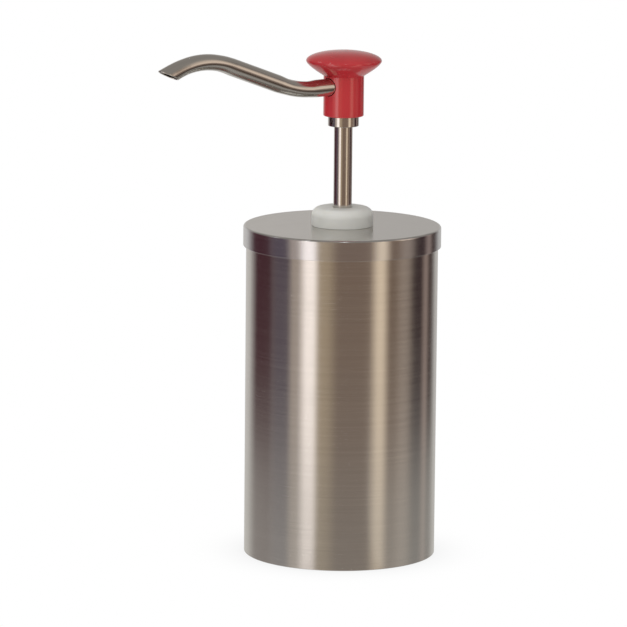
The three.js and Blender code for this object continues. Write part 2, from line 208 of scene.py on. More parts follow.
def grid_faces(rows: int, columns: int, wrap_rows: bool, wrap_columns: bool) -> Indices:
    """Four-sided faces of a grid whose point (i, j) has number i * columns + j.

    Args:
        rows: points the first way.
        columns: points the second way.
        wrap_rows: whether the last row joins the first.
        wrap_columns: whether the last column joins the first.

    Returns:
        One row of four point numbers for each face.
    """
    i = np.arange(rows if wrap_rows else rows - 1)[:, None]
    j = np.arange(columns if wrap_columns else columns - 1)[None]
    a = i * columns + j
    b = ((i + 1) % rows) * columns + j
    c = ((i + 1) % rows) * columns + (j + 1) % columns
    d = i * columns + (j + 1) % columns
    return np.stack([a, b, c, d], axis=-1).reshape(-1, 4)


def fan(ring: Indices, hub: int) -> Indices:
    """Triangles from each step of a closed ring of points to one hub point."""
    return np.stack([ring, np.roll(ring, -1), np.full(len(ring), hub)], axis=1)


def revolved(outline: Outline, sides: int) -> Surface:
    """Turns a section about the height axis.

    The point at angle a for section point (r, h) is (r cos a, r sin a, h). A closed section gives a ring;
    an open one starts and ends on the axis, where each end is one point with a fan of triangles.

    Args:
        outline: the section.
        sides: steps round the axis.

    Returns:
        The closed skin.
    """
    angle = np.linspace(0, 2 * math.pi, sides, endpoint=False)[:, None]
    inner = outline.points if outline.closed else outline.points[1:-1]
    worn = outline.worn if outline.closed else outline.worn[1:-1]
    r, h = inner[None, :, 0], inner[None, :, 1]
    points = np.stack([r * np.cos(angle), r * np.sin(angle), h + 0 * angle], axis=-1).reshape(-1, 3)
    quads = grid_faces(sides, len(inner), True, outline.closed)
    marks = np.tile(worn, sides)
    if outline.closed:
        return Surface(points, quads, np.zeros((0, 3), np.int64), marks)
    poles = np.array([[0, 0, outline.points[0, 1]], [0, 0, outline.points[-1, 1]]])
    start = np.arange(sides) * len(inner)
    low = fan(start, len(points))
    high = fan(start + len(inner) - 1, len(points) + 1)
    return Surface(
        np.concatenate([points, poles]), quads, np.concatenate([low, high]), np.append(marks, [0, 0])
    )


def swept(centres: Array, across: Array, along_up: Array, section: Array) -> Surface:
    """Carries a closed section along a path and closes both ends with fans.

    Point (i, j) is centre i, plus the section's first number j times the across direction i, plus its
    second number j times the up direction i.

    Args:
        centres: the path's points.
        across: the section's first direction at each point.
        along_up: the section's second direction at each point.
        section: rows of two numbers round the section.

    Returns:
        The closed skin.
    """
    grid = (
        centres[:, None]
        + section[None, :, :1] * across[:, None]
        + section[None, :, 1:] * along_up[:, None]
    )
    rows, columns = grid.shape[:2]
    points = np.concatenate([grid.reshape(-1, 3), centres[[0, -1]]])
    first = np.arange(columns)
    caps = np.concatenate([
        fan(first, rows * columns), fan(first + (rows - 1) * columns, rows * columns + 1)
    ])
    quads = grid_faces(rows, columns, False, True)
    return Surface(points, quads, caps, np.zeros(len(points)))


# ---- Meshes and pieces ----------------------------------------------------------------------------


def mesh_from(name: str, surface: Surface) -> bpy.types.Mesh:
    """Puts a skin into a new mesh, in metres, with its faces pointing outwards.

    Args:
        name: the mesh's name.
        surface: the skin.

    Returns:
        The mesh, smooth, with its wear marks as the attribute "worn".
    """
    mesh = bpy.data.meshes.new(name)
    faces = surface.quads.tolist() + surface.triangles.tolist()
    mesh.from_pydata((surface.points * MM).tolist(), [], faces)
    worn = mesh.attributes.new("worn", "FLOAT", "POINT")
    worn.data.foreach_set("value", surface.worn.astype(np.float32))
    if surface.lengthwise is not None:
        lengthwise = mesh.attributes.new("lengthwise", "FLOAT_VECTOR", "POINT")
        lengthwise.data.foreach_set("vector", surface.lengthwise.astype(np.float32).ravel())
    face_outwards(mesh)
    return mesh


def face_outwards(mesh: bpy.types.Mesh) -> None:
    """Recalculates a closed mesh's normals, smooths it and keeps only real creases sharp."""
    work = bmesh.new()
    work.from_mesh(mesh)
    bmesh.ops.recalc_face_normals(work, faces=work.faces)
    work.to_mesh(mesh)
    work.free()
    mesh.shade_smooth()
    mesh.set_sharp_from_angle(angle=SHARP_ANGLE)


def linked(name: str, surface: Surface) -> bpy.types.Object:
    """A new object in the scene with this skin, at the origin."""
    obj = bpy.data.objects.new(name, mesh_from(name, surface))
    bpy.context.scene.collection.objects.link(obj)
    return obj


def carve(obj: bpy.types.Object, *tools: Surface) -> None:
    """Cuts closed skins out of a piece, and leaves the piece with the plain result.

    Args:
        obj: the piece.
        tools: the skins that are taken away, in the order given.
    """
    cutters = [linked(f"cutter_{i}", tool) for i, tool in enumerate(tools)]
    for cutter in cutters:
        modifier = obj.modifiers.new("carve", "BOOLEAN")
        modifier.operation = "DIFFERENCE"
        modifier.solver = "EXACT"
        modifier.object = cutter
    evaluated = obj.evaluated_get(bpy.context.evaluated_depsgraph_get())
    result = bpy.data.meshes.new_from_object(evaluated)
    obj.modifiers.clear()
    obj.data = result
    for cutter in cutters:
        bpy.data.objects.remove(cutter)
    face_outwards(result)


def block(width: float, depth: float, height: float) -> Surface:
    """A plain box about the origin, used only for cutting: every mix of plus and minus half of each side."""
    signs = np.array([[i, j, k] for i in (-1, 1) for j in (-1, 1) for k in (-1, 1)], float)
    faces = [[0, 1, 3, 2], [4, 6, 7, 5], [0, 4, 5, 1], [2, 3, 7, 6], [0, 2, 6, 4], [1, 5, 7, 3]]
    points = signs * np.array([width, depth, height]) / 2
    return Surface(points, np.array(faces), np.zeros((0, 3), np.int64), np.zeros(8))


def rod(radius: float, length: float, rounding: float = 0.2, sides: int = 48) -> Surface:
    """A round bar about the origin along the height axis, with rounded ends."""
    half = length / 2
    corners = [[0, -half, 0], [radius, -half, rounding], [radius, half, rounding], [0, half, 0]]
    return revolved(rounded(corners, closed=False), sides)


def crosswise(radius: float, length: float, at: float, rounding: float = 0.2) -> Surface:
    """A round bar laid sideways through the pump's axis at a height."""
    return rod(radius, length, rounding).turned_to(Axis.SIDEWAYS).moved(z=at)


def middle_of(node: str) -> Vector:
    """The middle of a node's box, in millimetres."""
    low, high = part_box(node)
    return (low + high) / 2 / MM


def base_of(node: str) -> float:
    """The height of a node's underside, in millimetres."""
    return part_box(node)[0].z / MM


# ---- Shader nodes ---------------------------------------------------------------------------------


class Sheet:
    """A node tree being filled in: it adds nodes and joins them."""

    def __init__(self, tree: bpy.types.NodeTree) -> None:
        """Takes the tree to fill."""
        self.tree = tree
        self.count = 0

    def add(self, kind: str, **settings: Any) -> bpy.types.Node:
        """Adds a node, sets its properties and puts it in the next free place."""
        node = self.tree.nodes.new(kind)
        node.location = (180 * (self.count % 12), -260 * (self.count // 12))
        self.count += 1
        for name, value in settings.items():
            setattr(node, name, value)
        return node

    def join(self, source: Any, target: Any) -> None:
        """Joins an output to an input, or sets the input if the source is a plain value."""
        if isinstance(source, bpy.types.NodeSocket):
            self.tree.links.new(source, target)
        else:
            target.default_value = source

    def math(self, operation: str, a: Any, b: Any = 0.0, c: Any = 0.0, clamp: bool = False) -> Any:
        """A Math node's output for up to three inputs."""
        node = self.add("ShaderNodeMath", operation=operation, use_clamp=clamp)
        self.join(a, node.inputs[0])
        self.join(b, node.inputs[1])
        self.join(c, node.inputs[2])
        return node.outputs[0]

    def ramp(self, value: Any, low: float, high: float, to_low: float = 0.0, to_high: float = 1.0) -> Any:
        """A value moved smoothly from one range to another, held at both ends."""
        node = self.add("ShaderNodeMapRange", interpolation_type="SMOOTHSTEP", clamp=True)
        for target, source in zip(node.inputs[:5], (value, low, high, to_low, to_high)):
            self.join(source, target)
        return node.outputs[0]

    def mix(self, factor: Any, a: Any, b: Any, blend: str = "MIX") -> Any:
        """Two colours mixed."""
        node = self.add("ShaderNodeMix", data_type="RGBA", blend_type=blend)
        self.join(factor, node.inputs["Factor"])
        self.join(a, node.inputs[6])
        self.join(b, node.inputs[7])
        return node.outputs[2]

    def noise(self, vector: Any, scale: float, detail: float = 2.0, roughness: float = 0.5) -> Any:
        """Plain noise, from about 0.2 to 0.8."""
        node = self.add("ShaderNodeTexNoise")
        self.join(vector, node.inputs["Vector"])
        node.inputs["Scale"].default_value = scale
        node.inputs["Detail"].default_value = detail
        node.inputs["Roughness"].default_value = roughness
        return node.outputs["Fac"]

    def stretched(self, vector: Any, scale: tuple[float, float, float]) -> Any:
        """A vector scaled differently on each axis."""
        node = self.add("ShaderNodeMapping")
        self.join(vector, node.inputs["Vector"])
        node.inputs["Scale"].default_value = scale
        return node.outputs["Vector"]

    def relief(self, shader: bpy.types.Node, height: Any, strength: float, distance: float) -> None:
        """Gives a shader small bumps from a height."""
        bump = self.add("ShaderNodeBump")
        bump.inputs["Strength"].default_value = strength
        bump.inputs["Distance"].default_value = distance
        self.join(height, bump.inputs["Height"])
        self.join(bump.outputs["Normal"], shader.inputs["Normal"])

    def group(self, tree: bpy.types.NodeTree, **values: Any) -> bpy.types.Node:
        """Places a node group and gives its inputs, named with spaces for underscores."""
        node = self.add("ShaderNodeGroup", node_tree=tree)
        for name, value in values.items():
            self.join(value, node.inputs[name.replace("_", " ")])
        return node


def rgba(colour: Colour) -> tuple[float, float, float, float]:
    """A colour with full cover."""
    return (*colour, 1.0)


class Effects:
    """Surface effects that several finishes use, each built once as a node group."""

    def __init__(self) -> None:
        """Builds every group."""
        self.brushing = self.make_brushing()
        self.smudges = self.make_smudges()
        self.scratches = self.make_scratches()
        self.edge_wear = self.make_edge_wear()
        self.grain = self.make_grain()

    @staticmethod
    def start(name: str, inputs: dict[str, float | None], outputs: list[str]) -> tuple[Sheet, Any, Any]:
        """Starts a group.

        Args:
            name: the group's name.
            inputs: each input's name and first value; None makes it a vector.
            outputs: names of the value outputs.

        Returns:
            The sheet, the group's inputs and its outputs.
        """
        tree = bpy.data.node_groups.new(name, "ShaderNodeTree")
        for label, value in inputs.items():
            kind = "NodeSocketVector" if value is None else "NodeSocketFloat"
            socket = tree.interface.new_socket(name=label, in_out="INPUT", socket_type=kind)
            if value is not None:
                socket.default_value = value
        for label in outputs:
            tree.interface.new_socket(name=label, in_out="OUTPUT", socket_type="NodeSocketFloat")
        sheet = Sheet(tree)
        return sheet, sheet.add("NodeGroupInput").outputs, sheet.add("NodeGroupOutput").inputs

    def make_brushing(self) -> bpy.types.NodeTree:
        """Fine parallel lines: noise that is long one way, in three widths, with soft broader bands."""
        sheet, given, out = self.start("brushed_lines", {"Vector": None}, ["Lines", "Bands"])
        fine = sheet.noise(given["Vector"], 1.0, 3.0, 0.65)
        finer = sheet.noise(given["Vector"], 2.7, 2.0, 0.6)
        broad = sheet.noise(given["Vector"], 0.12, 2.0, 0.5)
        both = sheet.math("MULTIPLY_ADD", fine, 0.6, sheet.math("MULTIPLY", finer, 0.4))
        sheet.join(sheet.ramp(both, 0.3, 0.7), out["Lines"])
        sheet.join(sheet.ramp(broad, 0.35, 0.65), out["Bands"])
        return sheet.tree

    def make_smudges(self) -> bpy.types.NodeTree:
        """Soft patches where hands and cloths have been: broad noise broken up by finer noise."""
        sheet, given, out = self.start("smudges", {"Vector": None}, ["Mask"])
        broad = sheet.noise(given["Vector"], 16.0, 3.0, 0.6)
        fine = sheet.noise(given["Vector"], 90.0, 4.0, 0.7)
        patch = sheet.ramp(broad, 0.46, 0.66)
        broken = sheet.ramp(fine, 0.3, 0.7, 0.45, 1.0)
        sheet.join(sheet.math("MULTIPLY", patch, broken), out["Mask"])
        return sheet.tree

    def make_scratches(self) -> bpy.types.NodeTree:
        """Sparse fine scratches: the narrow crests of two long noises, kept only in patches."""
        sheet, given, out = self.start("scratches", {"Vector": None}, ["Mask"])
        first = sheet.noise(sheet.stretched(given["Vector"], (30, 700, 90)), 1.0, 1.0)
        second = sheet.noise(sheet.stretched(given["Vector"], (650, 40, 120)), 1.0, 1.0)
        crest = sheet.math(
            "MAXIMUM", sheet.ramp(first, 0.735, 0.76), sheet.ramp(second, 0.735, 0.76)
        )
        where = sheet.ramp(sheet.noise(given["Vector"], 22.0), 0.48, 0.62)
        sheet.join(sheet.math("MULTIPLY", crest, where), out["Mask"])
        return sheet.tree

    def make_edge_wear(self) -> bpy.types.NodeTree:
        """Wear on rounded corners: the piece's own wear mark, broken up by noise."""
        sheet, given, out = self.start("edge_wear", {"Vector": None, "Worn": 0.0}, ["Mask"])
        uneven = sheet.ramp(sheet.noise(given["Vector"], 140.0, 4.0, 0.7), 0.35, 0.65, 0.25, 1.0)
        sheet.join(sheet.math("MULTIPLY", given["Worn"], uneven), out["Mask"])
        return sheet.tree

    def make_grain(self) -> bpy.types.NodeTree:
        """The slight unevenness of moulded or turned plastic: a coarse ripple under a fine grain."""
        sheet, given, out = self.start("moulded_grain", {"Vector": None}, ["Ripple", "Fine"])
        sheet.join(sheet.noise(given["Vector"], 120.0, 2.0), out["Ripple"])
        sheet.join(sheet.noise(given["Vector"], 1500.0, 3.0, 0.6), out["Fine"])
        return sheet.tree


# ---- Finishes -------------------------------------------------------------------------------------


class Brushed(Enum):
    """Which way the polishing marks of a metal run."""

    ROUND = "round"
    STRAIGHT = "straight"
    LENGTHWISE = "lengthwise"


SMUDGED_STEEL = (0.5, 0.485, 0.45)
WORN_STEEL = (0.8, 0.79, 0.77)
SCRATCHED_STEEL = (0.85, 0.84, 0.82)
STEEL_RELIEF = 0.00004  # metres
PLASTIC_RELIEF = 0.0001  # metres


@dataclass(frozen=True)
class SteelFinish:
    """Stainless steel with polishing marks."""

    name: str
    slot: str = "pump_steel"
    colour: Colour = (0.62, 0.6, 0.57)
    roughness: float = 0.27
    anisotropy: float = 0.8
    marks: Brushed = Brushed.ROUND
    contrast: float = 0.1
    depth: float = 0.15
    scratches: float = 0.35
    handling: float = 1.0
    waviness: float = 0.0

    def marks_vector(self, sheet: Sheet, place: Any) -> Any:
        """The vector that the marks follow: short steps across them and long ones along them."""
        if self.marks is Brushed.ROUND:
            return sheet.stretched(place, (9, 9, 2800))
        if self.marks is Brushed.STRAIGHT:
            return sheet.stretched(place, (3200, 36, 40))
        lengthwise = sheet.add("ShaderNodeAttribute", attribute_name="lengthwise").outputs["Vector"]
        return sheet.stretched(lengthwise, (3600, 3600, 20))

    def build(self, effects: Effects) -> bpy.types.Material:
        """Builds the material.

        Args:
            effects: the shared node groups.

        Returns:
            The material, with its lines in colour, roughness and height, smudges, scratches and wear.
        """
        material, sheet, shader = blank_material(self.name)
        place = sheet.add("ShaderNodeTexCoord").outputs["Object"]
        worn = sheet.add("ShaderNodeAttribute", attribute_name="worn").outputs["Fac"]
        lines = sheet.group(effects.brushing, Vector=self.marks_vector(sheet, place)).outputs
        smudge = sheet.group(effects.smudges, Vector=place).outputs["Mask"]
        scratch = sheet.group(effects.scratches, Vector=place).outputs["Mask"]
        wear = sheet.group(effects.edge_wear, Vector=place, Worn=worn).outputs["Mask"]
        dark = tuple(c * (1 - self.contrast) for c in self.colour)
        bright = tuple(min(1.0, c * (1 + self.contrast)) for c in self.colour)
        colour = sheet.mix(lines["Lines"], rgba(dark), rgba(bright))
        banded = sheet.math("MULTIPLY", lines["Bands"], 0.22)
        colour = sheet.mix(banded, colour, rgba(dark))
        for mask, share, over in (
            (smudge, 0.14 * self.handling, SMUDGED_STEEL),
            (wear, 0.45, WORN_STEEL),
            (scratch, self.scratches, SCRATCHED_STEEL),
        ):
            colour = sheet.mix(sheet.math("MULTIPLY", mask, share), colour, rgba(over))
        sheet.join(colour, shader.inputs["Base Color"])
        rough = sheet.math("MULTIPLY_ADD", lines["Lines"], 0.07, self.roughness - 0.035)
        rough = sheet.math("MULTIPLY_ADD", smudge, 0.05 * self.handling, rough)
        rough = sheet.math("MULTIPLY_ADD", wear, -0.06, rough, clamp=True)
        sheet.join(rough, shader.inputs["Roughness"])
        shader.inputs["Metallic"].default_value = 1.0
        height = sheet.math("MULTIPLY_ADD", scratch, -1.2, lines["Lines"])
        height = sheet.math("MULTIPLY_ADD", lines["Bands"], self.waviness, height)
        sheet.relief(shader, height, self.depth, STEEL_RELIEF)
        if self.marks is Brushed.ROUND:
            shader.inputs["Anisotropic"].default_value = self.anisotropy
            shader.inputs["Anisotropic Rotation"].default_value = 0.25
            tangent = sheet.add("ShaderNodeTangent", direction_type="RADIAL", axis="Z")
            sheet.join(tangent.outputs[0], shader.inputs["Tangent"])
        return material


@dataclass(frozen=True)
class PlasticFinish:
    """Moulded or turned plastic, gloss or satin, that may let a little light in."""

    name: str
    slot: str
    colour: Colour
    shade: Colour
    roughness: float
    worn_colour: Colour
    glow: float = 0.0
    turning: float = 0.0
    specular: float = 0.5

    def build(self, effects: Effects) -> bpy.types.Material:
        """Builds the material.

        Args:
            effects: the shared node groups.

        Returns:
            The material, with cloudy colour, handling marks, wear, grain and turning marks.
        """
        material, sheet, shader = blank_material(self.name)
        place = sheet.add("ShaderNodeTexCoord").outputs["Object"]
        worn = sheet.add("ShaderNodeAttribute", attribute_name="worn").outputs["Fac"]
        cloud = sheet.ramp(sheet.noise(place, 38.0, 3.0, 0.6), 0.35, 0.65)
        smudge = sheet.group(effects.smudges, Vector=place).outputs["Mask"]
        scratch = sheet.group(effects.scratches, Vector=place).outputs["Mask"]
        wear = sheet.group(effects.edge_wear, Vector=place, Worn=worn).outputs["Mask"]
        grain = sheet.group(effects.grain, Vector=place).outputs
        colour = sheet.mix(cloud, rgba(self.colour), rgba(self.shade))
        colour = sheet.mix(sheet.math("MULTIPLY", wear, 0.3), colour, rgba(self.worn_colour))
        colour = sheet.mix(sheet.math("MULTIPLY", scratch, 0.25), colour, rgba(self.worn_colour))
        sheet.join(colour, shader.inputs["Base Color"])
        rough = sheet.math("MULTIPLY_ADD", smudge, 0.14, self.roughness)
        rough = sheet.math("MULTIPLY_ADD", scratch, 0.2, rough, clamp=True)
        sheet.join(rough, shader.inputs["Roughness"])
        turned = sheet.noise(sheet.stretched(place, (10, 10, 1600)), 1.0, 2.0)
        height = sheet.math("MULTIPLY_ADD", grain["Fine"], 0.25, grain["Ripple"])
        height = sheet.math("MULTIPLY_ADD", turned, self.turning, height)
        sheet.relief(shader, height, 0.12, PLASTIC_RELIEF)
        shader.inputs["Specular IOR Level"].default_value = self.specular
        if self.glow > 0:
            shader.inputs["Subsurface Weight"].default_value = self.glow
            shader.inputs["Subsurface Radius"].default_value = (1.0, 0.95, 0.85)
            shader.inputs["Subsurface Scale"].default_value = 0.003
        return material


def blank_material(name: str) -> tuple[bpy.types.Material, Sheet, bpy.types.Node]:
    """A new material with only a Principled shader joined to its output.

    Args:
        name: the material's name.

    Returns:
        The material, its sheet and its shader.
    """
    material = bpy.data.materials.new(name)
    material.use_nodes = True
    material.node_tree.nodes.clear()
    sheet = Sheet(material.node_tree)
    shader = sheet.add("ShaderNodeBsdfPrincipled")
    output = sheet.add("ShaderNodeOutputMaterial")
    sheet.join(shader.outputs["BSDF"], output.inputs["Surface"])
    return material, sheet, shader


class Finish(Enum):
    """Every finish on the dispenser."""

    CAN = SteelFinish(
        "brushed_can_steel", "can_steel", roughness=0.22, anisotropy=0.87, contrast=0.07, depth=0.05,
        scratches=0.08, handling=0.5,
    )
    SKIRT = SteelFinish(
        "brushed_lid_steel", "can_steel", colour=(0.62, 0.62, 0.63), roughness=0.23, contrast=0.05,
        depth=0.05, scratches=0.1, handling=0.5,
    )
    LID_TOP = SteelFinish(
        "satin_lid_steel", "can_steel", roughness=0.2, marks=Brushed.STRAIGHT, contrast=0.02, depth=0.03,
        scratches=0.15, handling=0.35,
    )
    TURNED = SteelFinish(
        "turned_steel", colour=(0.68, 0.66, 0.63), roughness=0.16, anisotropy=0.5, contrast=0.05, depth=0.06,
    )
    TUBE = SteelFinish(
        "polished_tube_steel", colour=(0.66, 0.64, 0.61), roughness=0.15, marks=Brushed.LENGTHWISE,
        depth=0.1, waviness=1.2,
    )
    WIRE = SteelFinish(
        "spring_wire", "spring_steel", colour=(0.55, 0.54, 0.52), roughness=0.24, marks=Brushed.STRAIGHT,
        contrast=0.08,
    )
    BALL = SteelFinish(
        "ball_steel", colour=(0.7, 0.69, 0.67), roughness=0.1, marks=Brushed.STRAIGHT, contrast=0.02
    )
    SCREW = SteelFinish(
        "dark_screw_steel", colour=(0.36, 0.34, 0.32), roughness=0.34, marks=Brushed.STRAIGHT
    )
    NYLON = PlasticFinish(
        "white_nylon",
        "white_nylon",
        colour=(0.84, 0.85, 0.825),
        shade=(0.79, 0.8, 0.765),
        roughness=0.36,
        worn_colour=(0.88, 0.88, 0.85),
        glow=0.35,
        turning=1.4,
    )
    RED = PlasticFinish(
        "red_knob_plastic",
        "red_plastic",
        colour=(0.62, 0.035, 0.045),
        shade=(0.55, 0.028, 0.038),
        roughness=0.12,
        worn_colour=(0.7, 0.13, 0.13),
        specular=0.95,
    )
    RUBBER = PlasticFinish(
        "seal_rubber",
        "seal_rubber",
        colour=(0.028, 0.028, 0.03),
        shade=(0.04, 0.04, 0.042),
        roughness=0.55,
        worn_colour=(0.08, 0.08, 0.08),
    )
    SILICONE = PlasticFinish(
        "clear_silicone",
        "clear_silicone",
        colour=(0.72, 0.7, 0.64),
        shade=(0.66, 0.64, 0.58),
        roughness=0.42,
        worn_colour=(0.78, 0.77, 0.72),
        glow=0.4,
    )


class Workshop:
    """Makes finished pieces: it knows each node's body and each finish's material."""

    def __init__(self) -> None:
        """Reads the bodies from the frame and builds the shared effects and finishes."""
        bodies = frame["record"]["behaviour"]["bodies"]
        self.body_of = {node: body for body, nodes in bodies.items() for node in nodes}
        effects = Effects()
        self.materials = {finish: finish.value.build(effects) for finish in Finish}
        self.finished: list[bpy.types.Object] = []

    def dress(self, obj: bpy.types.Object, node: str, finish: Finish) -> bpy.types.Object:
        """Gives a piece its material and ties it to the node that it stands for.

        Args:
            obj: the piece.
            node: the frame's node.
            finish: the piece's finish.

        Returns:
            The same piece.
        """
        obj.data.materials.clear()
        obj.data.materials.append(self.materials[finish])
        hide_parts(node)
        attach(obj, self.body_of[node])
        self.finished.append(obj)
        log.info("%s on %s: %d faces", obj.name, self.body_of[node], len(obj.data.polygons))
        return obj

    def face_top(self, obj: bpy.types.Object, finish: Finish) -> None:
        """Gives the faces of a piece that look up a second finish."""
        count = len(obj.data.polygons)
        normals = np.empty(3 * count)
        obj.data.polygons.foreach_get("normal", normals)
        obj.data.materials.append(self.materials[finish])
        upward = (normals[2::3] > UPWARD).astype(np.int32)
        obj.data.polygons.foreach_set("material_index", upward)

    def make(self, node: str, surface: Surface, finish: Finish, *tools: Surface) -> bpy.types.Object:
        """Builds, cuts and dresses the piece that stands for one node.

        Args:
            node: the frame's node.
            surface: the piece's skin, in the frame's own place.
            finish: the piece's finish.
            tools: skins that are cut out of it.

        Returns:
            The piece.
        """
        obj = linked(f"{node}_finished", surface)
        if tools:
            carve(obj, *tools)
        return self.dress(obj, node, finish)

    def turn(
        self, node: str, corners: Any, finish: Finish, *tools: Surface, sides: int = 96, steps: int = 6
    ) -> bpy.types.Object:
        """Makes a turned piece whose underside is at its node's own.

        Args:
            node: the frame's node.
            corners: rows of radius, height and rounding. The section is open if the first is on the axis.
            finish: the piece's finish.
            tools: skins that are cut out of it.
            sides: steps round the axis.
            steps: arc steps per corner.

        Returns:
            The piece.
        """
        section = rounded(corners, closed=corners[0][0] > 0, steps=steps)
        return self.make(node, revolved(section, sides).moved(z=base_of(node)), finish, *tools)

    def seal(self, node: str, radius: float, section: float) -> None:
        """Makes a flat-lying rubber ring whose middle is at its node's middle height."""
        ring = revolved(ring_section(radius, section), 96).moved(z=middle_of(node).z)
        self.make(node, ring, Finish.RUBBER)

    def ball(self, node: str, radius: float, seat: float, height: float) -> None:
        """Makes a ball that rests on the edge of a round seat of a given radius and height."""
        rise = math.sqrt(radius**2 - seat**2) + BALL_REST
        self.make(node, revolved(ball_section(radius), 64).moved(z=height + rise), Finish.BALL)


# ---- The dispenser's sub-assemblies ---------------------------------------------------------------


@dataclass
class Container:
    """The rolled can: a wall whose top edge is folded in, and a flat base."""

    radius: float = 72.75
    height: float = 251.0
    sheet: float = 0.8
    hem: float = 5.0
    base_radius: float = 71.75
    base_thick: float = 1.0
    sides: int = 256

    def build(self, shop: Workshop) -> None:
        """Builds and dresses the wall and the base."""
        inside, folded = self.radius - self.sheet, self.radius - 2 * self.sheet
        wall = [
            [inside, 0, 0.1], [self.radius, 0, 0.7],
            [self.radius, self.height, 0.75], [folded, self.height, 0.75],
            [folded, self.height - self.hem, 0.3], [inside, self.height - self.hem, 0.06],
        ]
        shop.turn("container_wall", wall, Finish.CAN, sides=self.sides)
        base = [
            [0, 0, 0], [self.base_radius, 0, 0.2],
            [self.base_radius, self.base_thick, 0.2], [0, self.base_thick, 0],
        ]
        shop.turn("container_base", base, Finish.CAN, sides=self.sides)


@dataclass
class Lid:
    """The pressed lid with its skirt, the ring under it and the nylon nut on it."""

    radius: float = 75.0
    skirt: float = 15.5
    corner: float = 1.6
    sheet: float = 0.8
    hole: float = 15.7
    gasket_inner: float = 15.4
    gasket_outer: float = 19.5
    gasket_thick: float = 1.0
    nut_radius: float = 23.4
    nut_foot: float = -0.18
    nut_height: float = 13.8
    nut_shoulder: float = 6.5
    nut_web: float = 3.4
    thread: float = 15.3
    bore: float = 7.3

    def build(self, shop: Workshop) -> None:
        """Builds and dresses the lid, its gasket and its nut."""
        inside, under = self.radius - self.sheet, self.skirt - self.sheet
        shell = [
            [self.hole, under, 0.15], [inside, under, self.corner - self.sheet], [inside, 0, 0.2],
            [self.radius, 0, 0.3], [self.radius, self.skirt, self.corner], [self.hole, self.skirt, 0.2],
        ]
        shop.face_top(shop.turn("lid", shell, Finish.SKIRT, sides=256), Finish.LID_TOP)
        gasket = plain_ring(self.gasket_inner, self.gasket_outer, self.gasket_thick)
        shop.turn("lid_gasket", gasket, Finish.SILICONE)
        web = self.nut_height - self.nut_web
        nut = [
            [self.thread, self.nut_foot, 0.2], [self.nut_radius, self.nut_foot, 0.3],
            [self.nut_radius, self.nut_height, self.nut_shoulder], [self.bore, self.nut_height, 0.7],
            [self.bore, web, 0.1], [self.thread, web, 0.2],
        ]
        shop.turn("guide_nut", nut, Finish.NYLON, sides=128, steps=10)


@dataclass
class Barrel:
    """The pump's fixed tube, the threaded fitting on it, the bush that the stem slides in and its wiper."""

    tube_radius: float = 16.0
    tube_bore: float = 14.6
    tube_length: float = 230.5
    spigot: float = 6.5
    spigot_radius: float = 14.3
    flange: float = 20.0
    flange_top: float = 9.5
    neck: float = 15.0
    neck_top: float = 22.0
    bore: float = 10.5
    thread_start: float = 1.0
    thread_pitch: float = 1.5
    thread_depth: float = 0.6
    thread_turns: int = 7
    bush_bore: float = 7.2
    bush_sleeve: float = 10.3
    bush_flange: float = 13.2
    bush_flange_thick: float = 2.7
    bush_height: float = 21.0
    wiper: tuple[float, float] = (8.8, 1.5)

    def thread_corners(self) -> Array:
        """The neck's thread in section: a crest and a root for each pitch, going up from the flange."""
        turn = np.arange(self.thread_turns)[:, None]
        shares = np.array([[0.0, 0.25, 0.55, 0.8]])
        heights = self.flange_top + self.thread_start + self.thread_pitch * (turn + shares)
        radii = self.neck - np.array([0.0, self.thread_depth, self.thread_depth, 0.0]) + 0 * heights
        return np.stack([radii.ravel(), heights.ravel(), np.full(heights.size, 0.08)], axis=1)

    def build(self, shop: Workshop) -> None:
        """Builds and dresses the fitting, the tube, the bush and the wiper."""
        head = np.concatenate([
            [[self.bore, 0, 0.3], [self.spigot_radius, 0, 0.3], [self.spigot_radius, self.spigot, 0.1]],
            [[self.flange, self.spigot, 0.3], [self.flange, self.flange_top, 0.3]],
            [[self.neck, self.flange_top, 0.1]],
            self.thread_corners(),
            [[self.neck, self.neck_top, 0.8], [self.bore, self.neck_top, 0.3]],
        ])
        shop.turn("cylinder_head", head, Finish.TURNED, steps=4)
        tube = [
            [self.tube_bore, 0, 0.3], [self.tube_radius, 0, 0.4],
            [self.tube_radius, self.tube_length, 0.4], [self.tube_bore, self.tube_length, 0.3],
        ]
        shop.turn("cylinder_tube", tube, Finish.TURNED, sides=128)
        bush = [
            [self.bush_bore, 0, 0.4], [self.bush_flange, 0, 0.4],
            [self.bush_flange, self.bush_flange_thick, 0.4], [self.bush_sleeve, self.bush_flange_thick, 0.15],
            [self.bush_sleeve, self.bush_height, 0.4], [self.bush_bore, self.bush_height, 0.4],
        ]
        shop.turn("guide_bush", bush, Finish.NYLON)
        shop.seal("stem_wiper_ring", *self.wiper)


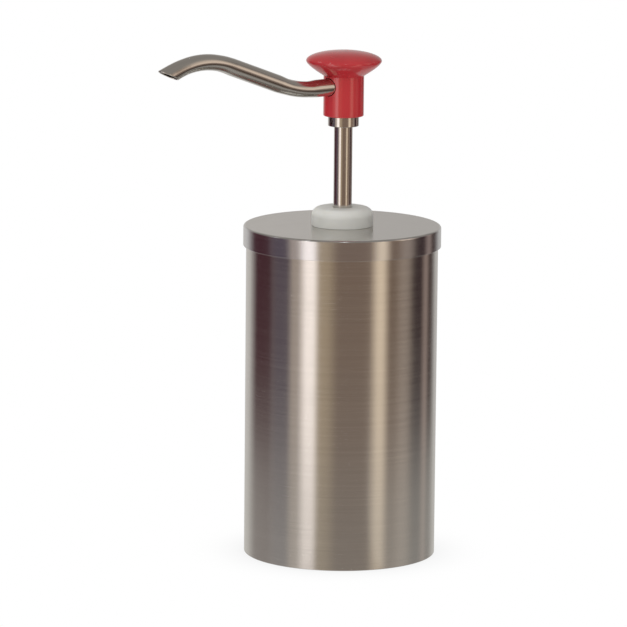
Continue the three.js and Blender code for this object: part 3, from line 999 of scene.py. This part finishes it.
@dataclass
class FootValve:
    """The plug in the barrel's lower end, with feet, an inlet, a ball seat, its ball and its pin."""

    flange: float = 17.5
    flange_top: float = 11.7
    plug: float = 14.3
    inlet: float = 5.5
    chamber: float = 8.2
    boss: float = 10.3
    seat: float = 13.0
    shelf: float = 24.0
    height: float = 30.0
    groove: float = 11.9
    groove_at: float = 19.0
    groove_half: float = 1.4
    seal: tuple[float, float] = (13.15, 1.2)
    ball: float = 6.35
    pin_radius: float = 1.2
    pin_play: float = 0.2
    pin_length: float = 19.6
    pin_at: float = 27.3
    slot_width: float = 9.0
    slot_height: float = 7.0

    def build(self, shop: Workshop) -> None:
        """Builds and dresses the plug, its seal, the pin and the ball."""
        low, high = self.groove_at - self.groove_half, self.groove_at + self.groove_half
        body = [
            [self.inlet, 0, 0.5], [self.flange, 0, 0.8],
            [self.flange, self.flange_top, 0.4], [self.plug, self.flange_top, 0.1],
            [self.plug, low, 0.2], [self.groove, low, 0.15],
            [self.groove, high, 0.15], [self.plug, high, 0.2],
            [self.plug, self.shelf, 0.5], [self.boss, self.shelf, 0.15],
            [self.boss, self.height, 0.6], [self.chamber, self.height, 0.3],
            [self.chamber, self.seat + self.chamber - self.inlet, 0.3], [self.inlet, self.seat, 0.2],
        ]
        at = base_of("foot_valve_body")
        slot = block(self.slot_width, 3 * self.flange, 2 * self.slot_height).moved(z=at)
        cross = block(3 * self.flange, self.slot_width, 2 * self.slot_height).moved(z=at)
        hole = crosswise(self.pin_radius + self.pin_play, 3 * self.boss, at + self.pin_at)
        shop.turn("foot_valve_body", body, Finish.NYLON, slot, cross, hole)
        shop.seal("foot_valve_o_ring", *self.seal)
        pin = crosswise(self.pin_radius, self.pin_length, at + self.pin_at, 0.3)
        shop.make("ball_cage_pin", pin, Finish.BALL)
        shop.ball("inlet_ball", self.ball, self.inlet, at + self.seat)


@dataclass
class ReturnSpring:
    """The compression spring round the valve's boss, with a closed coil at each end."""

    wire: float = 1.4
    radius: float = 11.7
    coils: float = 8.5
    closed: float = 1.0
    pitch: float = 1.43
    bottom: float = 28.2
    top: float = 98.4
    full_stroke_share: float = 0.217
    steps_each_turn: int = 56
    wire_sides: int = 14

    def path(self) -> tuple[Array, Array, Array]:
        """The wire's middle line.

        The point after t turns is at radius R and angle 2 pi t. Its height grows by the closed pitch in
        the end turns and by the open pitch between them.

        Returns:
            The points, the outward direction and the direction at right angles to that and the wire.
        """
        turns = np.linspace(0, self.coils, int(self.coils * self.steps_each_turn) + 1)
        open_turns = self.coils - 2 * self.closed
        free = self.top - self.bottom - self.wire - 2 * self.closed * self.pitch
        opened = np.clip(turns - self.closed, 0, open_turns)
        height = self.bottom + self.wire / 2 + (turns - opened) * self.pitch + opened * free / open_turns
        outward = level_directions(2 * math.pi * turns)
        points = outward * self.radius
        points[:, 2] = height
        forward = np.gradient(points, axis=0)
        forward /= np.linalg.norm(forward, axis=1)[:, None]
        return points, outward, np.cross(forward, outward)

    def build(self, shop: Workshop) -> None:
        """Builds and dresses the spring, and gives it a mesh of its own."""
        angle = np.linspace(0, 2 * math.pi, self.wire_sides, endpoint=False)
        section = np.stack([np.cos(angle), np.sin(angle)], axis=1) * self.wire / 2
        spring = shop.make("return_spring", swept(*self.path(), section), Finish.WIRE)
        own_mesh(spring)


@dataclass
class Piston:
    """The piston, its two seals, the washer under it, the hollow bolt that holds it and the outlet ball."""

    radius: float = 14.15
    bore: float = 5.25
    height: float = 11.4
    groove: float = 11.8
    groove_half: float = 1.3
    grooves_at: tuple[float, float] = (3.0, 8.4)
    seal: tuple[float, float] = (13.1, 1.2)
    washer_inner: float = 10.2
    washer_outer: float = 13.9
    washer_thick: float = 1.3
    bolt_bore: float = 3.2
    bolt_head: float = 9.6
    bolt_head_height: float = 4.3
    bolt_shank: float = 5.05
    bolt_shank_top: float = 16.4
    bolt_thread: float = 5.3
    bolt_step: float = 0.6
    bolt_length: float = 26.4
    bolt_slot: float = 2.4
    ball: float = 4.5
    pin_radius: float = 1.0
    pin_length: float = 13.2

    def build(self, shop: Workshop) -> None:
        """Builds and dresses the piston and everything on it."""
        corners = [[self.bore, 0, 0.3], [self.radius, 0, 0.4]]
        for at in self.grooves_at:
            low, high = at - self.groove_half, at + self.groove_half
            corners += [[self.radius, low, 0.15], [self.groove, low, 0.12]]
            corners += [[self.groove, high, 0.12], [self.radius, high, 0.15]]
        corners += [[self.radius, self.height, 0.4], [self.bore, self.height, 0.3]]
        shop.turn("piston_body", corners, Finish.NYLON)
        shop.seal("piston_ring_lower", *self.seal)
        shop.seal("piston_ring_upper", *self.seal)
        washer = plain_ring(self.washer_inner, self.washer_outer, self.washer_thick)
        shop.turn("thrust_washer", washer, Finish.TURNED)
        self.build_bolt(shop)

    def build_bolt(self, shop: Workshop) -> None:
        """Builds and dresses the hollow bolt, the ball on its rim and the pin above the ball."""
        at = base_of("outlet_valve_bolt")
        bolt = [
            [self.bolt_bore, 0, 0.3], [self.bolt_head, 0, 0.6],
            [self.bolt_head, self.bolt_head_height, 0.3], [self.bolt_shank, self.bolt_head_height, 0.1],
            [self.bolt_shank, self.bolt_shank_top, 0.1],
            [self.bolt_thread, self.bolt_shank_top + self.bolt_step, 0.1],
            [self.bolt_thread, self.bolt_length, 0.3], [self.bolt_bore, self.bolt_length, 0.12],
        ]
        slot = block(self.bolt_slot, 3 * self.bolt_head, self.bolt_slot).moved(z=at)
        shop.turn("outlet_valve_bolt", bolt, Finish.TURNED, slot, sides=72)
        shop.ball("outlet_ball", self.ball, self.bolt_bore, at + self.bolt_length)
        pin = crosswise(self.pin_radius, self.pin_length, middle_of("outlet_ball_pin").z, 0.25)
        shop.make("outlet_ball_pin", pin, Finish.BALL)


@dataclass
class Stem:
    """The hollow piston rod, with the clip and the ring that stop it at the top of its stroke."""

    radius: float = 7.0
    bore: float = 5.6
    length: float = 237.2
    groove: float = 6.3
    groove_low: float = 115.6
    groove_high: float = 117.1
    pin_hole: float = 1.2
    stop_bore: float = 7.2
    stop_radius: float = 11.8
    stop_height: float = 7.2
    clip_inner: float = 6.5
    clip_outer: float = 9.3
    clip_thick: float = 1.1
    clip_mouth: float = 50.0
    clip_steps: int = 96

    def build(self, shop: Workshop) -> None:
        """Builds and dresses the tube, the stop ring and the clip."""
        tube = [
            [self.bore, 0, 0.2], [self.radius, 0, 0.3],
            [self.radius, self.groove_low, 0.08], [self.groove, self.groove_low, 0.08],
            [self.groove, self.groove_high, 0.08], [self.radius, self.groove_high, 0.08],
            [self.radius, self.length, 0.3], [self.bore, self.length, 0.2],
        ]
        skin = revolved(rounded(tube), 128).moved(z=base_of("stem_tube"))
        skin = replace(skin, lengthwise=skin.points * MM)
        hole = crosswise(self.pin_hole, 4 * self.radius, middle_of("outlet_ball_pin").z)
        shop.make("stem_tube", skin, Finish.TUBE, hole)
        stop = [
            [self.stop_bore, 0, 0.4], [self.stop_radius, 0, 0.6],
            [self.stop_radius, self.stop_height, 0.6], [self.stop_bore, self.stop_height, 0.4],
        ]
        shop.turn("stop_ring", stop, Finish.NYLON)
        self.build_clip(shop)

    def build_clip(self, shop: Workshop) -> None:
        """Builds and dresses the clip: a flat rounded section carried round an open arc."""
        half = math.radians(self.clip_mouth / 2)
        outward = level_directions(np.linspace(half, 2 * math.pi - half, self.clip_steps + 1))
        centres = outward * (self.clip_inner + self.clip_outer) / 2
        centres[:, 2] = base_of("stop_circlip") + self.clip_thick / 2
        wide, thick = (self.clip_outer - self.clip_inner) / 2, self.clip_thick / 2
        corners = [[-wide, -thick, 0.15], [wide, -thick, 0.15], [wide, thick, 0.15], [-wide, thick, 0.15]]
        up = np.zeros_like(centres)
        up[:, 2] = 1.0
        clip = swept(centres, outward, up, rounded(corners).points)
        shop.make("stop_circlip", clip, Finish.WIRE)


@dataclass
class HeadFitting:
    """The steel block on the stem: the stem enters from below and the spout from the front."""

    radius: float = 11.7
    height: float = 39.0
    port: float = 30.4
    seat: float = 21.7
    port_bore: float = 5.6
    port_tool: float = 5.4
    spout_seat: float = 6.9
    spout_seat_start: float = 5.3
    spout_seal: tuple[float, float] = (5.95, 0.75)
    stem_bore: float = 7.2
    stem_seal: tuple[float, float] = (8.35, 1.05)
    groove: float = 9.6
    groove_at: float = 10.0
    groove_half: float = 1.3
    screw_at: float = 4.0
    screw_radius: float = 1.9
    screw_length: float = 3.6
    screw_recess: float = 0.4
    screw_hole: float = 2.1
    screw_hole_start: float = 6.7
    slot: float = 0.7

    def forwards(self, radius: float, start: float, at: float) -> Surface:
        """A bar for cutting a hole that opens at the front, from a depth behind it."""
        length = 2 * self.radius
        return rod(radius, length).turned_to(Axis.FORWARD).moved(y=-start - length / 2, z=at)

    def build(self, shop: Workshop) -> None:
        """Builds and dresses the block, its two seals and its screw."""
        at = base_of("head_block")
        low, high = self.groove_at - self.groove_half, self.groove_at + self.groove_half
        body = [
            [0, self.port, 0], [self.port_bore, self.port, 0.2],
            [self.port_bore, self.seat, 0.1], [self.stem_bore, self.seat, 0.1],
            [self.stem_bore, high, 0.1], [self.groove, high, 0.1],
            [self.groove, low, 0.1], [self.stem_bore, low, 0.1],
            [self.stem_bore, 0, 0.3], [self.radius, 0, 0.5],
            [self.radius, self.height, 0.6], [0, self.height, 0],
        ]
        tools = (
            self.forwards(self.port_tool, 0.0, at + self.port),
            self.forwards(self.spout_seat, self.spout_seat_start, at + self.port),
            self.forwards(self.screw_hole, self.screw_hole_start, at + self.screw_at),
        )
        skin = revolved(rounded(body, closed=False), 128).moved(z=at)
        shop.make("head_block", skin, Finish.TURNED, *tools)
        shop.seal("stem_o_ring", *self.stem_seal)
        middle = middle_of("spout_o_ring")
        ring = revolved(ring_section(*self.spout_seal), 72).turned_to(Axis.FORWARD)
        shop.make("spout_o_ring", ring.moved(y=middle.y, z=middle.z), Finish.RUBBER)
        face, screw_z = self.radius - self.screw_recess, at + self.screw_at
        screw = rod(self.screw_radius, self.screw_length, 0.3).turned_to(Axis.FORWARD)
        slot = block(self.slot, 2 * self.slot, 3 * self.screw_radius).moved(y=-face, z=screw_z)
        screw = screw.moved(y=self.screw_length / 2 - face, z=screw_z)
        shop.make("stem_set_screw", screw, Finish.SCREW, slot)


@dataclass
class Spout:
    """The bent outlet tube: level, up, straight, over and down, and cut at a slant."""

    radius: float = 6.6
    bore: float = 5.6
    axis: float = 358.4
    root: float = 7.3
    straight: float = 23.6
    rise: float = 19.9
    rise_radius: float = 86.7
    run: float = 55.0
    fall: float = 20.8
    fall_radius: float = 70.6
    tip: float = 22.0
    cut_reach: float = 168.7
    cut_above: float = 21.0
    cut_tilt: float = 24.6
    spare: float = 12.0
    flattening: float = 0.085
    blend: float = 4.0
    lip: float = 0.3
    fine_steps: int = 8000
    steps: int = 240
    sides: int = 72
    lip_steps: int = 6

    def stretches(self) -> tuple[Array, Array]:
        """Each stretch's length and turn in radians. The tip has some to spare, which the cut takes off."""
        up, down = math.radians(self.rise), math.radians(self.rise + self.fall)
        lengths = np.array([
            self.straight, self.rise_radius * up, self.run, self.fall_radius * down, self.tip + self.spare
        ])
        return lengths, np.array([0.0, up, 0.0, -down, 0.0])

    def centreline(self, s: Array) -> tuple[Array, Array, Array]:
        """The tube's middle line at distances s along it.

        The slope grows evenly along each bend and is steady between bends. Reach and height are the
        running sums of the slope's cosine and sine over short steps.

        Args:
            s: distances along the line, in millimetres.

        Returns:
            Reach, height and slope at each distance.
        """
        lengths, turns = self.stretches()
        ends = np.append(0.0, np.cumsum(lengths))
        slopes = np.append(0.0, np.cumsum(turns))
        fine = np.linspace(0, ends[-1], self.fine_steps + 1)
        slope = np.interp(fine, ends, slopes)
        step = fine[1] - fine[0]
        middle = (slope[1:] + slope[:-1]) / 2
        reach = self.root + np.append(0.0, np.cumsum(np.cos(middle))) * step
        height = np.append(0.0, np.cumsum(np.sin(middle))) * step
        return np.interp(s, fine, reach), np.interp(s, fine, height), np.interp(s, fine, slope)

    def ovality(self, s: Array) -> Array:
        """How much the bends flatten the tube: half a sine wave over each bend, cut off level at its top."""
        lengths, _ = self.stretches()
        ends = np.append(0.0, np.cumsum(lengths))
        along = [
            np.clip((s - ends[i] + self.blend) / (lengths[i] + 2 * self.blend), 0, 1) for i in (1, 3)
        ]
        waves = [np.minimum(1.0, 1.5 * np.sin(math.pi * bend)) for bend in along]
        return self.flattening * (waves[0] + waves[1])

    def end_distance(self, around: Array) -> Array:
        """Where each line along the tube meets the slanted cut.

        The tip is straight, so a line's distance is that of the middle line's meeting point less the
        line's own lead over the cutting plane, divided by how fast the tip crosses that plane.

        Args:
            around: angles round the tube, in radians, 0 at the top.

        Returns:
            The distance along the middle line for each angle.
        """
        lengths, _ = self.stretches()
        start = lengths[:4].sum()
        reach, height, slope = (float(a[0]) for a in self.centreline(np.array([start])))
        tilt = math.radians(self.cut_tilt)
        normal = np.array([-math.sin(tilt), math.cos(tilt)])
        ahead = np.array([math.cos(slope), math.sin(slope)])
        above = np.array([-math.sin(slope), math.cos(slope)])
        to_plane = (np.array([self.cut_reach, self.cut_above]) - np.array([reach, height])) @ normal
        middle = (self.radius + self.bore) / 2
        return start + (to_plane - middle * np.cos(around) * (above @ normal)) / (ahead @ normal)

    def surface(self) -> Surface:
        """The tube's whole skin.

        The second way round the grid goes out along the outside, round the slanted lip, back along the
        bore and round the inner end, as one closed loop. Lines round the tube stretch to meet the cut.

        Returns:
            The skin, with distance along the tube kept for the polishing marks.
        """
        around = np.linspace(0, 2 * math.pi, self.sides, endpoint=False)[:, None]
        wall, middle = (self.radius - self.bore) / 2, (self.radius + self.bore) / 2
        turn = np.linspace(0, math.pi, self.lip_steps + 1)[1:-1]
        going = np.linspace(0, 1, self.steps + 1)
        share = np.concatenate([going, np.ones(len(turn)), going[::-1], np.zeros(len(turn))])
        ahead = np.concatenate([0 * going, np.sin(turn), 0 * going, -np.sin(turn)]) * self.lip
        offset = np.concatenate([
            np.full(len(going), self.radius),
            middle + wall * np.cos(turn),
            np.full(len(going), self.bore),
            middle - wall * np.cos(turn),
        ])
        s = self.lip + share[None] * (self.end_distance(around) - 2 * self.lip) + ahead[None]
        reach, height, slope = self.centreline(s)
        squeezed = offset[None] * (1 - self.ovality(s))
        spread = offset[None] * (1 + 0.5 * self.ovality(s))
        rise = squeezed * np.cos(around)
        x = spread * np.sin(around)
        y = -(reach - rise * np.sin(slope))
        z = self.axis + height + rise * np.cos(slope)
        points = np.stack([x, y, z], axis=-1).reshape(-1, 3)
        pattern = np.stack([
            self.radius * np.cos(around) + 0 * s, self.radius * np.sin(around) + 0 * s, s
        ], axis=-1).reshape(-1, 3)
        worn = np.tile((np.abs(ahead) > 0).astype(float), self.sides)
        quads = grid_faces(self.sides, len(share), True, True)
        return Surface(points, quads, np.zeros((0, 3), np.int64), worn, pattern * MM)

    def build(self, shop: Workshop) -> None:
        """Builds and dresses the tube."""
        shop.make("spout_tube", self.surface(), Finish.TUBE)


@dataclass
class Knob:
    """The red mushroom knob: a hollow neck, a flared underside, a rounded rim and a low dome."""

    neck: float = 15.3
    rim: float = 28.6
    cavity: float = 12.0
    rim_at: float = 41.8
    dome: float = 7.7
    roof: float = 31.7
    neck_top: float = 30.6
    flare: tuple[float, float] = (2.25, 1.6)
    turn_in: tuple[float, float] = (0.7, 3.6)
    spout_hole: float = 7.0

    def underside(self, steps: int = 22) -> Array:
        """The bowl from the neck to the rim: a cubic curve from a slant at the neck to upright."""
        t = np.linspace(0, 1, steps + 1)[1:, None]
        controls = np.array([
            [self.neck, self.neck_top],
            [self.neck + self.flare[0], self.neck_top + self.flare[1]],
            [self.rim - self.turn_in[0], self.rim_at - self.turn_in[1]],
            [self.rim, self.rim_at],
        ])
        weights = np.concatenate(
            [(1 - t) ** 3, 3 * t * (1 - t) ** 2, 3 * t**2 * (1 - t), t**3], axis=1
        )
        return weights @ controls

    def top(self, steps: int = 40) -> Array:
        """The dome: a quarter of an ellipse from the rim to the middle."""
        angle = np.linspace(0, math.pi / 2, steps + 1)[1:]
        points = np.stack([self.rim * np.cos(angle), self.rim_at + self.dome * np.sin(angle)], axis=1)
        points[-1, 0] = 0.0
        return points

    def build(self, shop: Workshop) -> None:
        """Builds and dresses the knob, with the hole that the spout comes out of."""
        start = [
            [0, self.roof, 0], [self.cavity, self.roof, 0.8], [self.cavity, 0, 0.4],
            [self.neck, 0, 0.9], [self.neck, self.neck_top, 0],
        ]
        curve = np.concatenate([self.underside(), self.top()])
        smooth = np.concatenate([curve, np.zeros((len(curve), 1))], axis=1)
        hole = rod(self.spout_hole, 2 * self.neck, sides=96).turned_to(Axis.FORWARD)
        hole = hole.moved(y=-self.neck, z=Spout.axis)
        shop.turn("knob", np.concatenate([start, smooth]), Finish.RED, hole, sides=192)


# ---- Studio ---------------------------------------------------------------------------------------


@dataclass(frozen=True)
class Panel:
    """A part of the surround: its start and end, in degrees from the camera, and its light."""

    name: str
    start: float
    end: float
    light: Colour


PANELS = (
    Panel("pale back, left", -180, -145, (0.66, 0.64, 0.62)),
    Panel("plum curtain", -124, -97, (0.072, 0.022, 0.032)),
    Panel("curtain seam", -91, -88, (0.14, 0.1, 0.115)),
    Panel("slate gap", -84, -68, (0.115, 0.088, 0.115)),
    Panel("soft shoulder", -61, -53, (0.5, 0.42, 0.37)),
    Panel("white strip", -43, -33.5, (1.62, 1.48, 1.42)),
    Panel("golden wall, left", -27, -17, (0.5, 0.39, 0.27)),
    Panel("brown front", -4, 34, (0.245, 0.172, 0.132)),
    Panel("cream strip", 45, 51, (1.04, 0.86, 0.66)),
    Panel("tan wall, right", 60, 71, (0.25, 0.168, 0.122)),
    Panel("grey wall", 79, 84, (0.31, 0.24, 0.205)),
    Panel("dark corner", 96, 111, (0.045, 0.024, 0.028)),
    Panel("thin light", 119, 124, (0.38, 0.29, 0.26)),
    Panel("dark edge", 130, 137, (0.085, 0.06, 0.056)),
    Panel("pale back, right", 153, 180, (0.58, 0.565, 0.55)),
)


@dataclass(frozen=True)
class Lamp:
    """A small ceiling lamp: its direction from the camera's and its height, in degrees."""

    around: float
    height: float
    width: float = 3.0
    light: float = 7.0


LAMPS = (Lamp(-52, 48), Lamp(4, 52), Lamp(-100, 40, 2.5))


@dataclass
class Studio:
    """The camera, the pale floor and the soft surround of lit panels and darker gaps."""

    location: tuple[float, float, float] = (3.06418, -2.57115, 0.90703)
    aim_across: float = -0.0212
    aim_height: float = 0.1836
    lens: float = 307.154
    roll: float = 0.5435
    strength: float = 2.4
    ceiling: Colour = (0.3, 0.28, 0.26)
    ledge_light: Colour = (0.92, 0.76, 0.63)
    low_dark: Colour = (0.02, 0.014, 0.011)
    soft_base: float = 0.45
    soft_from: tuple[float, float, float] = (0.53, -0.36, 0.28)
    soft_least: float = 0.08
    floor_half: float = 14.0
    floor_drop: float = 0.0002
    floor_light: float = 0.72
    # Painted contact shadow on the floor: how far it reaches, and the floor's brightness where it is darkest.
    contact_reach: float = 0.05
    painted_shadow_darkest: float = 0.8
    # Painted reflection: the floor's glow in polished parts, weaker in front of the can, and its share, which
    # fades with distance.
    floor_glow: float = 0.62
    front_glow: float = 0.38
    floor_share: float = 0.55
    fade: tuple[float, float] = (0.34, 0.68)

    def directions(self) -> tuple[Vector, Vector]:
        """The level directions to the image's right and towards the camera."""
        toward = Vector((self.location[0], self.location[1], 0)).normalized()
        return Vector((-toward.y, toward.x, 0)), toward

    def make_camera(self) -> None:
        """Adds the camera, aimed a little beside the pump's axis and slightly rolled."""
        right, _ = self.directions()
        aim = right * self.aim_across + Vector((0, 0, self.aim_height))
        place = Vector(self.location)
        turn = (aim - place).to_track_quat("-Z", "Y") @ Quaternion((0, 0, 1), math.radians(self.roll))
        data = bpy.data.cameras.new("camera")
        data.lens, data.sensor_width = self.lens, 36.0
        data.clip_start, data.clip_end = 0.05, 60.0
        camera = bpy.data.objects.new("camera", data)
        camera.matrix_world = Matrix.Translation(place) @ turn.to_matrix().to_4x4()
        bpy.context.scene.collection.objects.link(camera)
        bpy.context.scene.camera = camera

    def panel_ramp(self, sheet: Sheet, angle: Any) -> Any:
        """The surround's light by direction, as a colour ramp with two stops for each panel."""
        ramp = sheet.add("ShaderNodeValToRGB")
        sheet.join(sheet.math("MULTIPLY_ADD", angle, 1 / (2 * math.pi), 0.5), ramp.inputs[0])
        stops = ramp.color_ramp
        stops.interpolation = "LINEAR"
        places = [(a, p.light) for p in PANELS for a in (p.start, p.end)]
        while len(stops.elements) < len(places):
            stops.elements.new(1.0)
        for stop, (degrees, light) in zip(stops.elements, places):
            stop.position = (degrees + 180) / 360
            stop.color = rgba(tuple(c / self.strength for c in light))
        return ramp.outputs["Color"]

    def soft_light(self, sheet: Sheet, across: Any, ahead: Any, up: Any) -> Any:
        """The light that plastics scatter: strongest from the camera's side, then the left, then above."""
        light: Any = self.soft_base
        for part, share in zip((ahead, across, up), self.soft_from):
            light = sheet.math("MULTIPLY_ADD", part, share, light)
        return sheet.math("MAXIMUM", light, self.soft_least)

    def lamps(self, sheet: Sheet, look: Any) -> Any:
        """The sum of the small lamps' light: each is a soft-edged disc of directions."""
        right, toward = self.directions()
        total: Any = 0.0
        for lamp in LAMPS:
            around, height = math.radians(lamp.around), math.radians(lamp.height)
            level = right * math.sin(around) + toward * math.cos(around)
            aim = level * math.cos(height) + Vector((0, 0, math.sin(height)))
            near = self.along(sheet, look, aim)
            edge = math.cos(math.radians(lamp.width))
            disc = sheet.ramp(near, edge, 0.5 + 0.5 * edge, 0.0, lamp.light)
            total = sheet.math("ADD", total, disc)
        return total

    @staticmethod
    def along(sheet: Sheet, look: Any, direction: Vector) -> Any:
        """How far the looking direction goes along another."""
        dot = sheet.add("ShaderNodeVectorMath", operation="DOT_PRODUCT")
        sheet.join(look, dot.inputs[0])
        dot.inputs[1].default_value = direction
        return dot.outputs["Value"]

    def reflected(self, sheet: Sheet, look: Any, across: Any, ahead: Any, up: Any) -> Any:
        """What polished parts mirror: the panels, a light ledge at the right, a dim ceiling and the lamps."""
        angle = sheet.math("ARCTAN2", across, ahead)
        sides = self.panel_ramp(sheet, angle)
        at_right = sheet.math("MULTIPLY", sheet.ramp(angle, 0.9, 1.2), sheet.ramp(angle, 2.3, 2.0))
        low = sheet.math("MULTIPLY", at_right, sheet.ramp(up, -0.2, -0.28, 0.0, 0.8))
        sides = sheet.mix(low, sides, rgba(self.low_dark))
        dim, lit = (
            rgba(tuple(c / self.strength for c in light)) for light in (self.ceiling, self.ledge_light)
        )
        room = sheet.mix(sheet.ramp(up, 0.0, 0.62), sides, dim)
        ledge = sheet.math("MULTIPLY", sheet.ramp(up, -0.12, 0.02), sheet.ramp(up, 0.85, 0.08))
        beside = sheet.math("MULTIPLY", sheet.ramp(angle, 1.1, 1.35), sheet.ramp(angle, 1.8, 1.5))
        room = sheet.mix(sheet.math("MULTIPLY", ledge, beside), room, lit)
        lamp = sheet.math("DIVIDE", self.lamps(sheet, look), self.strength)
        return sheet.mix(1.0, room, lamp, "ADD")

    def make_surround(self) -> None:
        """Fills the world: plain white for the camera, soft light for plastics, the room for reflections."""
        world = bpy.data.worlds.new("studio")
        bpy.context.scene.world = world
        world.use_nodes = True
        world.node_tree.nodes.clear()
        world.cycles.sampling_method = "NONE"
        sheet = Sheet(world.node_tree)
        look = sheet.add("ShaderNodeTexCoord").outputs["Generated"]
        right, toward = self.directions()
        across, ahead, up = (self.along(sheet, look, d) for d in (right, toward, Vector((0, 0, 1))))
        paths = sheet.add("ShaderNodeLightPath").outputs
        room = sheet.add("ShaderNodeBackground")
        sheet.join(self.reflected(sheet, look, across, ahead, up), room.inputs["Color"])
        room.inputs["Strength"].default_value = self.strength
        soft = sheet.add("ShaderNodeBackground")
        soft.inputs["Color"].default_value = (1, 0.985, 0.955, 1)
        sheet.join(self.soft_light(sheet, across, ahead, up), soft.inputs["Strength"])
        plain = sheet.add("ShaderNodeBackground")
        plain.inputs["Color"].default_value = (1, 1, 1, 1)
        scattered = self.choose(sheet, paths["Is Diffuse Ray"], room.outputs[0], soft.outputs[0])
        output = sheet.add("ShaderNodeOutputWorld")
        seen = self.choose(sheet, paths["Is Camera Ray"], scattered, plain.outputs[0])
        sheet.join(seen, output.inputs["Surface"])

    @staticmethod
    def choose(sheet: Sheet, factor: Any, otherwise: Any, then: Any) -> Any:
        """One of two shaders, or a mix of both."""
        node = sheet.add("ShaderNodeMixShader")
        sheet.join(factor, node.inputs[0])
        sheet.join(otherwise, node.inputs[1])
        sheet.join(then, node.inputs[2])
        return node.outputs[0]

    def make_floor(self) -> None:
        """Adds the pale floor, with a soft painted shadow where the can meets it."""
        mesh = bpy.data.meshes.new("floor")
        half = self.floor_half
        corners = [(-half, -half, 0), (half, -half, 0), (half, half, 0), (-half, half, 0)]
        mesh.from_pydata(corners, [], [(0, 1, 2, 3)])
        floor = bpy.data.objects.new("floor", mesh)
        floor.location.z = -self.floor_drop
        bpy.context.scene.collection.objects.link(floor)
        mesh.materials.append(self.floor_material())

    def floor_material(self) -> bpy.types.Material:
        """A pale sheet that gives off light: the camera sees it glow white with a painted contact shadow, and
        polished parts see it partly clear to the room with a painted glow near the can, weaker in front of
        it.
        """
        material = bpy.data.materials.new("pale_floor")
        material.use_nodes = True
        material.node_tree.nodes.clear()
        material.cycles.emission_sampling = "NONE"
        sheet = Sheet(material.node_tree)
        place = sheet.add("ShaderNodeTexCoord").outputs["Object"]
        away = sheet.add("ShaderNodeVectorMath", operation="LENGTH")
        sheet.join(place, away.inputs[0])
        right, toward = self.directions()
        angle = sheet.math(
            "ARCTAN2", self.along(sheet, place, right), self.along(sheet, place, toward)
        )
        # Painted reflection: polished parts see the floor glowing near the can, less brightly in front of it,
        # and fading farther out.
        in_front = sheet.math("MULTIPLY", sheet.ramp(angle, -0.5, -0.3), sheet.ramp(angle, 0.6, 0.42))
        glow = sheet.ramp(in_front, 0.0, 1.0, self.floor_glow, self.front_glow)
        share = sheet.ramp(away.outputs["Value"], *self.fade, self.floor_share, 0.0)
        paths = sheet.add("ShaderNodeLightPath").outputs
        # Painted contact shadow: the emission that the camera sees is dimmed by ambient occlusion near the
        # can.
        contact = sheet.add("ShaderNodeAmbientOcclusion", samples=12)
        contact.inputs["Distance"].default_value = self.contact_reach
        seen = sheet.add("ShaderNodeEmission")
        painted_contact_shadow = sheet.ramp(contact.outputs["AO"], 0.0, 1.0, self.painted_shadow_darkest, 1.0)
        sheet.join(painted_contact_shadow, seen.inputs["Strength"])
        near = sheet.add("ShaderNodeEmission")
        near.inputs["Color"].default_value = (1, 0.985, 0.93, 1)
        sheet.join(glow, near.inputs["Strength"])
        clear = sheet.add("ShaderNodeBsdfTransparent")
        mirrored = self.choose(sheet, share, clear.outputs[0], near.outputs[0])
        lit = sheet.add("ShaderNodeEmission")
        lit.inputs["Strength"].default_value = self.floor_light
        by_path = self.choose(sheet, paths["Is Glossy Ray"], lit.outputs[0], mirrored)
        output = sheet.add("ShaderNodeOutputMaterial")
        result = self.choose(sheet, paths["Is Camera Ray"], by_path, seen.outputs[0])
        sheet.join(result, output.inputs["Surface"])
        return material

    def build(self) -> None:
        """Sets up the camera, the surround and the floor."""
        bpy.context.scene.view_settings.view_transform = "Standard"
        self.make_camera()
        self.make_surround()
        self.make_floor()


def main() -> None:
    """Builds the studio and every sub-assembly, in order."""
    logging.basicConfig(level=logging.INFO, format="%(message)s")
    Studio().build()
    shop = Workshop()
    for kind in (
        Container, Lid, Barrel, FootValve, ReturnSpring, Piston, Stem, HeadFitting, Spout, Knob
    ):
        log.info("building: %s", kind.__name__)
        kind().build(shop)
    log.info("%d pieces finished", len(shop.finished))


if __name__ == "__main__":
    main()
